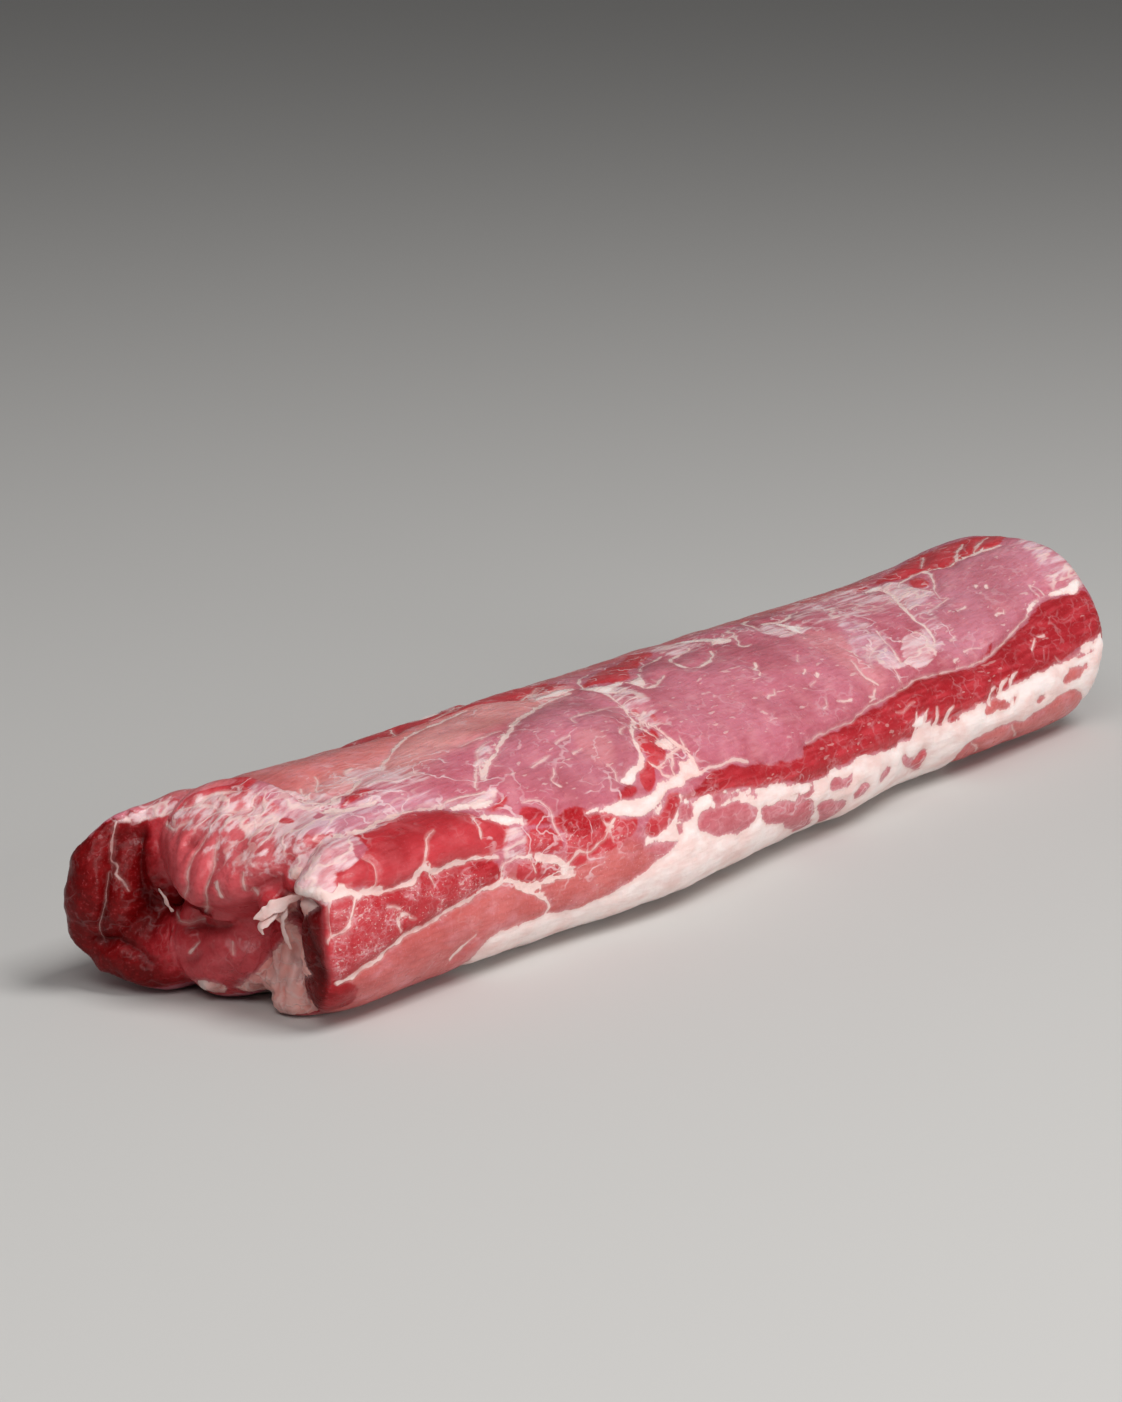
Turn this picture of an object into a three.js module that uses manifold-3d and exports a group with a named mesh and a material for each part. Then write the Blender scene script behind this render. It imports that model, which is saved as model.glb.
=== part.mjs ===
// A whole boneless pork loin, raw, lying on its fat side.
//
// Units are millimetres and +Z is up. The loin runs along X: the torn end, where several muscles
// part from each other, is at -X, and the plain cut end is at +X. The side at -Y is the one that
// shows the fat seam and the dark strip of muscle. The origin lies under the middle of the loin,
// on the surface that it rests on.
//
// The skin of the whole loin is one grid wrapped round a spine. It trims the muscles inside it: one
// body behind, and at the torn end a few lobes with open clefts between them.

import * as THREE from "three";
import { mergeVertices } from "three/addons/utils/BufferGeometryUtils.js";
import Module from "manifold-3d";

// Driving dimensions of the body.
const BODY_START = -284;
const BODY_END = 277;
const BODY_LENGTH = BODY_END - BODY_START;
const END_RADIUS = 43;
const CORNER_RADIUS = { torn: 13, cut: 14 };
// The widest place of the section, as a share of its height, and how deep the flat underside cuts.
const BELLY_SHARE = 0.42;
const SINK = 1.6;
// The underside rises a little towards the torn end.
const HEEL = { lift: 6, length: 45 };
// The plain cut slants: its top reaches further out than its foot.
const CUT_SLANT = { reach: 26, length: 100 };

// The cross-section at even steps from the torn end to the cut end: how far it reaches to the front
// and to the back of the spine, its height, and where the spine lies.
const SECTIONS = [
  { front: 62, back: 58, height: 72, spine: 4 },
  { front: 61, back: 55, height: 69, spine: -2 },
  { front: 66, back: 55, height: 69.5, spine: -6 },
  { front: 67, back: 56, height: 67.5, spine: -7 },
  { front: 65, back: 54, height: 66.5, spine: -6 },
  { front: 63, back: 50, height: 65.5, spine: -10 },
  { front: 54, back: 45, height: 77, spine: -21 },
];

// How square each quarter of the section is, as a superellipse power, at the torn and the cut end.
const SQUARENESS = {
  frontTop: { torn: 2.7, cut: 1.85 },
  backTop: { torn: 2.2, cut: 2.2 },
  backBottom: { torn: 2.8, cut: 2.8 },
  frontBottom: { torn: 3.3, cut: 2.9 },
};
const SQUARENESS_CHANGES = { from: 0.05, to: 0.6 };

// Mounds and hollows of the single muscles: where along the loin, at which angle round the spine
// (0 is the front, 90 the top), how long and how wide, and how high.
const MOUNDS = [
  { name: "brow of the torn end", x: -292, angle: 58, length: 46, spread: 26, rise: -12 },
  { name: "cap muscle", x: -218, angle: 25, length: 36, spread: 9, rise: 4 },
  { name: "valley behind the cap muscle", x: -208, angle: 40, length: 32, spread: 8, rise: -3.5 },
  { name: "membrane slope", x: -200, angle: 84, length: 50, spread: 14, rise: -2 },
  { name: "round window", x: -100, angle: 52, length: 40, spread: 24, rise: 2.4 },
  { name: "seam beside the window", x: -60, angle: 45, length: 9, spread: 30, rise: -2 },
  { name: "long eye", x: 45, angle: 52, length: 75, spread: 26, rise: 2 },
  { name: "dark strip", x: 50, angle: 8, length: 100, spread: 7, rise: -1.8 },
  { name: "dark strip by the cut end", x: 215, angle: 18, length: 60, spread: 10, rise: -1.8 },
  { name: "fat edge under the window", x: -88, angle: -14, length: 45, spread: 14, rise: 4.5 },
  { name: "fat edge under the strip", x: 62, angle: -14, length: 32, spread: 14, rise: 2 },
  { name: "nick in the fat edge", x: 112, angle: -12, length: 36, spread: 14, rise: -2.5 },
];

// Slow unevenness of the flesh: how deep it is and how far apart its swells are.
const SWELL = { depth: 0.7, along: 31, around: 5 };
// Relief fades out towards the middle of an end face, from this share of the section's size.
const RELIEF_STARTS = 0.3;

// The torn end: behind the parting the muscles are one body, and before it they are lobes with
// clefts between them. Each lobe has a middle, half sizes, a turn in degrees about X, Y and Z, and a
// squareness. The lobes reach past the loin's skin, which trims them.
const PARTING = -238;
const LOBES = [
  { name: "back lobe", at: [-238, 60, 42], half: [44, 32, 46], turn: [-18, 0, -4], power: 2.7 },
  { name: "chin of the back lobe", at: [-238, 42, 11], half: [38, 30, 17], turn: [-8, 0, 0], power: 2.6 },
  { name: "middle lobe", at: [-234, -1, 61], half: [48, 36, 27], turn: [-34, -8, 8], power: 2.4 },
  { name: "under lobe", at: [-238, 1, 21], half: [34, 23, 21], turn: [-16, 0, 4], power: 2.7 },
  { name: "fat pad", at: [-238, -25, 18], half: [31, 15, 28], turn: [-12, 0, 6], power: 2.4 },
  { name: "front wall", at: [-240, -60, 32], half: [37, 29, 40], turn: [-8, 0, 4], power: 3.4 },
];

// Folds and flakes that stand on the torn end.
const FOLDS = [
  { name: "top fold", at: [-256, 5, 63.5], half: [20, 19, 9.5], turn: [8, 6, -25], power: 2.3 },
  { name: "fat flake", at: [-266, -24, 37], half: [7, 4, 8], turn: [-30, 0, 10], power: 2.2 },
];
const LOBE_SWELL = { depth: 1.5, every: 7, shift: 2 };

// Fineness of the grids, and the distance within which their seams are sewn up.
const BODY_GRID = { around: 52, along: 74 };
const LOBE_GRID = { around: 34, along: 22 };
const SEAM = 1e-3;

// Half the size of the boxes that trim the loin, more than it measures.
const ROOM = 400;

const LEAN = new THREE.MeshStandardMaterial({ color: 0xb8545c, roughness: 0.42, metalness: 0 });

const { degToRad, euclideanModulo, lerp, radToDeg, smoothstep } = THREE.MathUtils;
const wasm = await Module();
wasm.setup();

// A sphere grid whose points are set by pointAt(angle round, share along). The angle starts at the
// front (-Y), and goes by the bottom and the back to the top.
function wrappedGrid({ around, along }, pointAt) {
  const geometry = new THREE.SphereGeometry(1, around, along);
  const { position, uv } = geometry.attributes;
  const point = new THREE.Vector3();
  for (let i = 0; i < position.count; i += 1) {
    const row = Math.round(uv.getY(i) * along);
    const pole = row === 0 || row === along;
    const angle = pole ? 0 : 2 * Math.PI * (uv.getX(i) % 1);
    pointAt(angle, row / along, point);
    position.setXYZ(i, point.x, point.y, point.z);
  }
  geometry.deleteAttribute("normal");
  geometry.deleteAttribute("uv");
  return mergeVertices(geometry, SEAM);
}

function solidOf(geometry) {
  return new wasm.Manifold(
    new wasm.Mesh({
      numProp: 3,
      vertProperties: new Float32Array(geometry.attributes.position.array),
      triVerts: new Uint32Array(geometry.index.array),
    }),
  );
}

function geometryOf(solid) {
  const { vertProperties, triVerts } = solid.getMesh();
  const geometry = new THREE.BufferGeometry();
  geometry.setAttribute("position", new THREE.BufferAttribute(vertProperties, 3));
  geometry.setIndex(new THREE.BufferAttribute(triVerts, 1));
  geometry.computeVertexNormals();
  return geometry;
}

// The section sizes and the spine as smooth curves along the loin.
const sizeCurve = new THREE.CatmullRomCurve3(
  SECTIONS.map(({ front, back, height }) => new THREE.Vector3(front, back, height)),
);
const spineCurve = new THREE.CatmullRomCurve3(
  SECTIONS.map(({ spine }, i) => new THREE.Vector3(i, spine, 0)),
);

// The way from the middle of one end face, round its corner, along the side, round the other corner
// and into the other end: x is the place along the loin and y the size of the section.
const { torn, cut } = CORNER_RADIUS;
const meridian = new THREE.Path()
  .moveTo(0, 0)
  .lineTo(0, END_RADIUS - torn)
  .absarc(torn, END_RADIUS - torn, torn, Math.PI, Math.PI / 2, true)
  .lineTo(BODY_LENGTH - cut, END_RADIUS)
  .absarc(BODY_LENGTH - cut, END_RADIUS - cut, cut, Math.PI / 2, 0, true)
  .lineTo(BODY_LENGTH, 0);

// A quarter of the section is a superellipse: the reach from its middle along a unit direction.
function quarterReach(across, up, halfWidth, halfHeight, power) {
  const flat = Math.abs(across) / halfWidth;
  const tall = Math.abs(up) / halfHeight;
  return (flat ** power + tall ** power) ** (-1 / power);
}

// The way from one angle to another in degrees, the shorter way round.
function angleBetween(start, end) {
  return euclideanModulo(end - start + 180, 360) - 180;
}

// Gaussian mounds and slow swells, as a rise of the surface at x and an angle in degrees.
function reliefAt(x, angle) {
  let rise = 0;
  for (const mound of MOUNDS) {
    const along = (x - mound.x) / mound.length;
    const around = angleBetween(mound.angle, angle) / mound.spread;
    rise += mound.rise * Math.exp(-along * along - around * around);
  }
  const swell = Math.sin(x / SWELL.along + 2 * Math.sin(degToRad(angle)));
  return rise + SWELL.depth * swell * Math.cos(degToRad(SWELL.around * angle) + x / (2 * SWELL.along));
}

function bodyPoint(turn, share, point) {
  const { x: along, y: radius } = meridian.getPoint(share);
  const place = along / BODY_LENGTH;
  const scale = radius / END_RADIUS;
  const size = sizeCurve.getPoint(place);
  const spine = spineCurve.getPoint(place).y;
  const across = -Math.cos(turn);
  const up = -Math.sin(turn);
  const belly = BELLY_SHARE * size.z;
  const heel = 1 - smoothstep(along, 0, HEEL.length);
  const side = across < 0 ? "front" : "back";
  const quarter = SQUARENESS[side + (up > 0 ? "Top" : "Bottom")];
  const change = smoothstep(place, SQUARENESS_CHANGES.from, SQUARENESS_CHANGES.to);
  const power = lerp(quarter.torn, quarter.cut, change);
  const reach = quarterReach(
    across,
    up,
    side === "front" ? size.x : size.y,
    up > 0 ? size.z - belly : belly + SINK - HEEL.lift * heel * heel,
    power,
  );
  const slant = CUT_SLANT.reach * smoothstep(along, BODY_LENGTH - CUT_SLANT.length, BODY_LENGTH);
  const x = BODY_START + along + (slant * scale * reach * up) / size.z;
  const angle = radToDeg(Math.atan2(up, -across));
  const grown = scale * reach + smoothstep(scale, RELIEF_STARTS, 1) * reliefAt(x, angle);
  point.set(x, spine + across * grown, belly + up * grown);
}

// A lump of muscle: a superellipsoid with its own turn and a little unevenness.
function lobeSolid({ at, half, turn, power }) {
  const spin = new THREE.Euler(...turn.map(degToRad));
  const grid = wrappedGrid(LOBE_GRID, (angle, share, point) => {
    const tip = Math.PI * share;
    point.set(-Math.cos(tip), -Math.cos(angle) * Math.sin(tip), -Math.sin(angle) * Math.sin(tip));
    const sum = point.toArray().reduce((total, value) => total + Math.abs(value) ** power, 0);
    point.multiplyScalar(sum ** (-1 / power));
    point.multiply(new THREE.Vector3(...half)).applyEuler(spin).add(new THREE.Vector3(...at));
    const { depth, every, shift } = LOBE_SWELL;
    point.x += depth * Math.sin(point.y / every + shift) * Math.sin(point.z / every);
    point.y += depth * Math.sin(point.z / every + shift) * Math.sin(point.x / every);
  });
  return solidOf(grid);
}

// All the room from x onwards, above the surface that the loin rests on.
function roomFrom(x) {
  const box = new THREE.BoxGeometry(2 * ROOM, 2 * ROOM, ROOM).translate(x + ROOM, 0, ROOM / 2);
  box.deleteAttribute("normal");
  box.deleteAttribute("uv");
  return solidOf(mergeVertices(box));
}

// The muscles behind the parting and the lobes before it, trimmed by the skin and by the surface
// that the loin rests on.
let muscles = roomFrom(PARTING);
for (const lobe of LOBES) muscles = muscles.add(lobeSolid(lobe));
let loin = muscles.intersect(solidOf(wrappedGrid(BODY_GRID, bodyPoint)));
for (const fold of FOLDS) loin = loin.add(lobeSolid(fold));
loin = loin.intersect(roomFrom(-ROOM));

// The origin goes under the middle of the loin.
const geometry = geometryOf(loin);
geometry.computeBoundingBox();
const middle = geometry.boundingBox.getCenter(new THREE.Vector3());
geometry.translate(-middle.x, -middle.y, 0);

const mesh = new THREE.Mesh(geometry, LEAN);
mesh.name = "pork_loin";

const part = new THREE.Group();
part.add(mesh);

export default part;
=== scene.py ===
"""A raw boneless pork loin on a pale studio floor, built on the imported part's own solid."""
import math
from collections import namedtuple

import bmesh
import bpy
import numpy as np
from bpy.props import FloatProperty, FloatVectorProperty, IntProperty, PointerProperty
from mathutils import Matrix, Vector, noise
from mathutils.bvhtree import BVHTree


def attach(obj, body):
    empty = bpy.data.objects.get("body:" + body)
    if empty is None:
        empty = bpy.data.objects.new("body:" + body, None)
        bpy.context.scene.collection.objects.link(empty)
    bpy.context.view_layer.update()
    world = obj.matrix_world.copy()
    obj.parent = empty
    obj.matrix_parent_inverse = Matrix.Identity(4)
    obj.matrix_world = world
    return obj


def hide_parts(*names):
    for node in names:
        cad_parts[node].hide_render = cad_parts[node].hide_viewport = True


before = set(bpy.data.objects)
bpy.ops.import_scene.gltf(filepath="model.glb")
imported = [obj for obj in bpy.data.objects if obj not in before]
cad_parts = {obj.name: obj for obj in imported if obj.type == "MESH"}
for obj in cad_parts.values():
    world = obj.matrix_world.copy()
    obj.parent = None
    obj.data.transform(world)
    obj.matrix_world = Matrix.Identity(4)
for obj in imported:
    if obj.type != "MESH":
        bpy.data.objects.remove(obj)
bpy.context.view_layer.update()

bl_info = {
    "name": "Pork Loin",
    "version": (1, 0, 0),
    "blender": (4, 5, 0),
    "location": "View3D > Sidebar > Pork Loin",
    "description": "Raw pork loin with its muscles, seams of fat, silverskin and torn end",
    "category": "Object",
}

NODE = "pork_loin"
MM = 0.001

# The meat's own coordinates, in millimetres: along the loin, and round it from the middle of the front side.
AXIS_HEIGHT = 28.0
AXIS_FROM, AXIS_TO, AXIS_STEP = -230, 271, 10
GIRTH_FROM, GIRTH_TO, GIRTH_STEP = -200, 240, 20
ANGLE_STEP = 2.0
FAR_OUTSIDE = 200.0

# Points of the solid's triangles that are this near are one, in metres.
WELD_GAP = 0.00002
FORM_ROUNDNESS = 3

# The torn end is meshed twice as finely as the rest, from here on.
FINE_FROM = -214.0

# A fold this deep gets the full painted shade, and folds and ridges fade over these shares of their length.
HOLLOW_DEPTH = 2.4
CREASE_ENDS = (-0.02, 0.2)
RIDGE_ENDS = (-0.05, 0.25)

# A mark counts for this far outside its edge, and its raggedness for less.
REACH = 14.0
RAGGED = 0.7
RAGGED_REACH = 4
SEAM_HALF = 0.5
CURVE_PIECES = 5
TINY = 1e-6

# A soft area fades mostly outside its edge, and over this share of its fade inside.
FADE_INSIDE = 0.4

# The loose flaps: points round each, the waves of their two edges, thickness, curl and looks.
FLAP_SIDES = 12
FLAP_WAVE = 0.9
FLAP_RAG = 2.2
FLAP_EDGES = (0, 40)
FLAP_THICKNESS = 1.1
FLAP_CURL = 0.45
FLAP_FAT = -2.0
FLAP_BLUSH = 0.4
FLAP_RAGGED = 0.3

Patch = namedtuple("Patch", "tissue points ragged")
Seam = namedtuple("Seam", "width points")
Wash = namedtuple("Wash", "effect amount fade points")
Crease = namedtuple("Crease", "depth width points")
Ridge = namedtuple("Ridge", "rise half points")
Form = namedtuple("Form", "middle half")
Lean = namedtuple("Lean", "shift along front back height slope")


def patch(tissue, *points, ragged=RAGGED):
    """A closed patch of one tissue, with an edge that wanders by about ragged millimetres."""
    return Patch(tissue, points, ragged)


def ribbon(tissue, *rows, ragged=RAGGED):
    """A long patch of one tissue, from rows of place along the loin, lower edge and upper edge."""
    upper = [(along, high) for along, _, high in rows]
    lower = [(along, low) for along, low, _ in reversed(rows)]
    return Patch(tissue, tuple(upper + lower), ragged)


def seam(width, *points):
    """A line of fat, of one width or of one at each end."""
    return Seam(width if isinstance(width, tuple) else (width, width), points)


def wash(effect, amount, fade, *points):
    """A soft-edged area where an effect is stronger, or weaker where the amount is negative."""
    return Wash(effect, amount, fade, points)


def crease(depth, width, *points):
    """A fold line that is pressed into the surface; a negative depth raises it."""
    return Crease(depth, width, points)


def ridge(rise, half, *points):
    """A rounded fold that stands up from the surface, with its half width."""
    return Ridge(rise, half, points)


def lean(shift, along, front=None, back=None, height=None, slope=0.0):
    """A part that moves by shift: none at the first value of each range, all of it at the second."""
    return Lean(shift, along, front, back, height, slope)


def flap(*rows):
    """A loose flap on the torn end, from rows of place along, across, height and half width."""
    return rows


# Patches of the long sides, painted in this order: along the loin, round it.
BODY_PATCHES = {
    "fat cap underneath": ribbon("fat", (-250, -128, -52), (-215, -134, -47), (-182, -158, -46),
        (-160, -146, -44), (-128, -136, -41), (-90, -132, -40), (-62, -146, -40), (-40, -159, -40),
        (-14, -140, -40), (14, -137, -40), (38, -157, -40), (66, -148, -40), (96, -131, -40),
        (132, -146, -40), (158, -159, -40), (184, -142, -41), (212, -154, -43), (238, -136, -47),
        (262, -130, -50), ragged=2),
    "belly fat": ribbon("fat", (-196, -34, -15), (-186, -46, -12.5), (-165, -50, -12), (-150, -50, -13.5),
        (-138, -50, -13), (-125, -50, -10), (-113, -50, -4), (-107, -50, 7), (-98, -50, 13), (-85, -50, 15),
        (-75, -50, 13), (-62, -50, 11.5), (-45, -50, 9.5), (-25, -50, 6.5), (0, -50, 3), (30, -50, 1),
        (60, -50, 1), (90, -50, -0.5), (120, -50, 1.5), (150, -50, 2.5), (185, -50, 5), (220, -50, 7),
        (240, -50, 10), (255, -50, 13), (275, -46, 14), ragged=1.2),
    "front muscle behind the web": patch("pink", (-164, -11), (-160, 0), (-150, 1), (-140, 4), (-125, 5),
        (-113, 3.5), (-100, 1.5), (-88, -1), (-100, -3.5), (-112, -7), (-125, -10), (-138, -12.5),
        (-150, -13)),
    "lower far muscle": patch("pink", (147, -20), (150, -13.5), (160, -11.5), (175, -11), (186, -11),
        (195, -13), (204, -11), (215, -10), (228, -7.5), (238, -9), (246, -12), (252, -16), (258, -26),
        (252, -40), (200, -42), (160, -36)),
    "cap muscle": patch("red", (-279, 29), (-262, 30.5), (-252, 33), (-249, 39), (-240, 39), (-232, 40),
        (-222, 41.3), (-212, 41), (-201, 38.3), (-195, 34.5), (-190, 30.5), (-183, 26.5), (-178, 24.5),
        (-184, 19), (-193, 16.5), (-207, 18), (-224, 17.5), (-240, 17.8), (-252, 18.5), (-268, 22),
        (-281, 25)),
    "marbled muscle": patch("red", (-283, 22), (-268, 21), (-252, 18), (-240, 17.5), (-224, 17),
        (-207, 17.5), (-196, 16), (-188, 10), (-195, 6), (-207, 4), (-225, 2.5), (-245, 0), (-258, -4),
        (-268, -7.6), (-281, -11)),
    "far edge of the marbled muscle": patch("dark", (-207, 16.5), (-198, 16), (-190, 12), (-189, 9),
        (-196, 7), (-206, 8)),
    "red island low": patch("red", (-181, 5.5), (-179, 10), (-172, 10.8), (-165, 8.3), (-157, 4.5),
        (-160, 1.8), (-170, 1.5), (-177, 3)),
    "red island middle": patch("red", (-174, 13), (-172, 18), (-167, 20.5), (-160, 19), (-155, 17.5),
        (-154, 12), (-157, 10), (-165, 12)),
    "red island high": patch("dark", (-173, 23.5), (-170, 27.5), (-166, 29), (-162, 28), (-159, 25),
        (-156, 21), (-160, 20), (-168, 21.5)),
    "red sliver": patch("red", (-184, 30.6), (-177, 33), (-171, 35), (-168.6, 34.4), (-169.6, 32.4),
        (-176, 31)),
    "side muscle": patch("red", (-155, 21), (-148, 22.5), (-141, 23), (-134, 20.5), (-125, 18.3),
        (-117, 14.5), (-110, 12.3), (-115, 8), (-121, 6.3), (-128, 5), (-140, 4.5), (-151, 3), (-153, 8),
        (-152, 14)),
    "white corner": patch("fat", (-290, 28), (-280, 25), (-274, 22), (-266, 20), (-268, 18.6), (-275, 19.6),
        (-283, 21.6), (-290, 24), ragged=1),
    "dark side muscle": patch("dark", (-153, 21), (-148, 22.5), (-141, 23), (-134, 20.5), (-128, 17),
        (-136, 12.5), (-146, 13), (-152, 16)),
    "dark sliver": patch("dark", (-117, 20), (-112, 23), (-106, 24.2), (-103, 22), (-108, 20.3)),
    "red island by the window": patch("red", (-100, 21.5), (-96, 27.5), (-87, 30.5), (-85, 27), (-90, 23),
        (-95, 20)),
    "bright red island": patch("red", (-84.5, 37), (-81, 40.3), (-76, 42), (-70, 42.8), (-68, 39),
        (-68.5, 33), (-72, 30), (-78, 29), (-82.5, 32)),
    "small red island": patch("red", (-69, 37), (-66, 41.2), (-63, 42.4), (-63.5, 38), (-67, 36.3)),
    "red drop": patch("red", (-85.5, 31), (-82.5, 31), (-80, 27.7), (-82, 26.2), (-85, 28)),
    "pocket in the belly fat": patch("red", (-107.5, 6), (-106, 10), (-101, 12), (-97, 11), (-91, 14),
        (-86, 16.5), (-82, 16.3), (-78.5, 14), (-82, 10.5), (-90, 7), (-95, 5), (-102, 4)),
    "three-cornered pocket": patch("pink", (-86, 6.5), (-80, 11.3), (-74.5, 9.7), (-76, 6.3), (-80, 5)),
    "small pocket": patch("pink", (-88.5, 6.8), (-85, 5.2), (-82.5, 3.8), (-86, 2), (-88, 3.6)),
    "long pocket": patch("pink", (-75, 1), (-73, 4.6), (-66, 6), (-58, 5.5), (-46, 5.6), (-40, 4),
        (-34, 1.2), (-29.5, -0.8), (-31, -4), (-38, -7), (-45, -7), (-51, -6), (-60, -4.5), (-68, -2),
        (-73, -0.5), ragged=0.9),
    "sliver over the long pocket": patch("pink", (-60, 9.7), (-52, 9.8), (-40, 7), (-26, 4.6), (-40, 5.2),
        (-50, 6.7), (-57, 6.6)),
    "second long pocket": patch("pink", (-28, -2.8), (-24, -1.3), (-18, -3), (-10, -2), (0, -4), (10, -6),
        (14, -8), (17, -12), (22, -19), (25, -24), (15, -23), (5, -18), (-5, -13), (-15, -10), (-24, -7),
        ragged=0.9),
    "pocket under the strip": patch("pink", (-1, -2), (3, -0.8), (8, -2), (14.5, -1.2), (14, -4), (8, -5.2),
        (3, -4)),
    "third long pocket": patch("pink", (19, -10), (28, -9.3), (35, -12), (40, -13), (44.5, -16), (45, -22),
        (38, -26), (30, -20), (22, -14)),
    "pale pocket": patch("pink", (26, -4.2), (32, -2), (38, -3), (45, -2.8), (42, -7), (34, -7.6),
        (28, -6.2), ragged=1.2),
    "low pocket": patch("pink", (47, -11.5), (52, -8.8), (58, -9.6), (61, -13), (52, -15)),
    "low pocket further on": patch("pink", (70, -10), (75, -8), (80.5, -8.8), (78, -11.4), (72, -12)),
    "slanted pocket": patch("pink", (91.5, -7.6), (95, -6.8), (102, -9.6), (110, -12), (116, -15.5),
        (119, -21), (112, -20), (104, -15), (96, -11)),
    "wide pocket": patch("red", (105, -12), (112, -8.8), (117.5, -12), (115, -17), (108, -15.5),
        ragged=1.2),
    "drop in the fat": patch("red", (131, 0.8), (135, 1.9), (138.5, -0.4), (134, -1.4)),
    "far pocket": patch("pink", (159, 0), (168, 2.2), (178, -0.8), (178, -3.6), (168, -3), (160, -2.8),
        ragged=1.3),
    "far drop": patch("pink", (181, 1), (186.5, 0.2), (183, -2.2)),
    "last pocket": patch("pink", (227, -1), (234, 3), (241, 2.2), (245, -1), (240, -3.2), (230, -3.2),
        ragged=1),
    "pale sliver at the far end": patch("pink", (230, 9), (240, 9.8), (256, 8.8), (250, 6.8), (236, 7.2)),
    "streak in the far fat": patch("pink", (203, -4.8), (211, -5), (206, -7.2)),
    "dark strip": ribbon("dark", (-84, 15.2, 15.8), (-76, 12, 13.6), (-67, 11, 14), (-58, 10, 17),
        (-52, 9.8, 18.4), (-45, 9, 17.4), (-35, 7.5, 16.2), (-25, 6, 14.8), (-10, 4, 12.3), (0, 2.5, 10.6),
        (8, 1.2, 11), (16, 0.2, 13), (30, 1, 14.5), (45, 1, 14.5), (58, 0.5, 14), (70, 0, 15.3),
        (80, -2, 16.6), (90, -0.6, 17), (100, -1, 18.2), (110, 2, 19.4), (118, 0.6, 20), (127, 0, 20.3),
        (137, 2, 20), (150, 2, 18.6), (165, 3, 18.2), (180, 5, 20), (192, 5.4, 23), (205, 6.4, 27),
        (215, 6.8, 29), (223, 7.2, 33), (232, 8.4, 36), (240, 11, 38), (250, 12.4, 38.4), (262, 13.4, 37.8),
        (270, 14, 34), ragged=1.5),
    "teeth of fat under the strip": patch("fat", (102, 3.6), (108, 5.6), (113.5, 6.8), (112, 3.4),
        (118, 3.2), (112, 1)),
    "red streak on the top": patch("red", (-47, 81.6), (-36, 87.5), (-27, 90), (-18, 94), (0, 98),
        (22, 105), (24, 97), (0, 87.5), (-12, 84.5), (-20, 78), (-31, 77), (-40, 80), ragged=1.2),
    "red strip at the far top": patch("red", (168, 90), (178, 93), (190, 92.5), (205, 96), (225, 101),
        (240, 105), (262, 98), (276, 90), (284, 84), (268, 79), (252, 78.5), (238, 82), (228, 80),
        (220, 84), (200, 88.5), (185, 91), ragged=1.2),
    "orange island at the far top": patch("red", (195.5, 76), (200, 83), (206, 84.4), (207.5, 80),
        (203, 75)),
    "rust triangle": patch("red", (-236, 54.4), (-229, 57), (-221, 59.6), (-213.5, 57), (-221, 54.8),
        (-229, 53.8)),
    "rust spot": patch("red", (-272, 62.6), (-270, 65), (-268.4, 62), (-270, 60)),
    "white wedge by the cap muscle": patch("fat", (-199, 38.6), (-193, 37.6), (-186, 35.2), (-179, 35.2),
        (-173, 36), (-179, 34), (-187, 32.8), (-193, 35)),
    "white wedge below it": patch("fat", (-189, 30), (-182, 29.6), (-176, 27.4), (-171, 25.4), (-170, 22.6),
        (-175, 23.4), (-182, 25.6)),
    "knot of the web": patch("fat", (-156, 4), (-153.4, 6.4), (-152.6, 4.4), (-150.4, 3.8), (-152, 2.6),
        (-150.6, 0.6), (-155, 1.4)),
    "white wedge under the window": patch("fat", (-137, 20.3), (-126, 19.9), (-117, 19.6), (-108, 19.4),
        (-100, 18.8), (-93, 20), (-87, 22.4), (-84, 19), (-90, 16.6), (-100, 13.9), (-110, 13.2),
        (-116, 14.9), (-126, 18.2)),
    "white spike by the window": patch("fat", (-111, 28), (-106, 27.6), (-100, 29.6), (-92, 31.6),
        (-86, 34.6), (-85.5, 32), (-92, 29.6), (-98, 27.2), (-103, 24.6), (-107, 25.2)),
    "white star": patch("fat", (-71, 22), (-68, 25.6), (-63, 24.6), (-60, 26.4), (-59.6, 19.4), (-66, 18.6),
        (-74, 17.4), (-84, 18), (-86, 22), (-79, 21), ragged=1.1),
    "white cheek of the star": patch("fat", (-72, 35), (-68, 36.4), (-64, 36.6), (-62, 40), (-61.4, 33),
        (-66, 31.4)),
    "web above the star": patch("fat", (-51, 72), (-50, 80), (-45, 79.6), (-40, 76.6), (-31, 76),
        (-35, 73.4), (-42, 72), (-47, 68), ragged=1.3),
    "brown spot": patch("red", (-69, 45.7), (-66, 48.6), (-63, 50), (-65, 46.4)),
    "second brown spot": patch("red", (-61, 52), (-58, 55), (-55, 55.6), (-57, 51.6)),
    "third brown spot": patch("red", (-57, 46), (-55.4, 50), (-52, 50.3), (-54, 46)),
    "white strip over the window": patch("fat", (-77, 84.6), (-74, 87.2), (-62, 88), (-56, 86.6),
        (-53, 82.8), (-58, 83), (-66, 84.2), ragged=1.1),
    "white wedge on the top": patch("fat", (-29.5, 73.4), (-20, 74.8), (-15, 77.6), (-20, 73.4), (-24, 70),
        (-30, 66.6)),
    "white patch on the top": patch("fat", (46, 80.6), (60, 80), (57.5, 87), (55, 94), (51, 100), (46, 99),
        (49.6, 92), (51, 86), ragged=1.3),
    "white streak on the far top": patch("fat", (93, 64.4), (97, 70), (102, 70.4), (99, 77), (97.6, 82),
        (95, 80), (94, 74), (91, 69), ragged=1.3),
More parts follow.
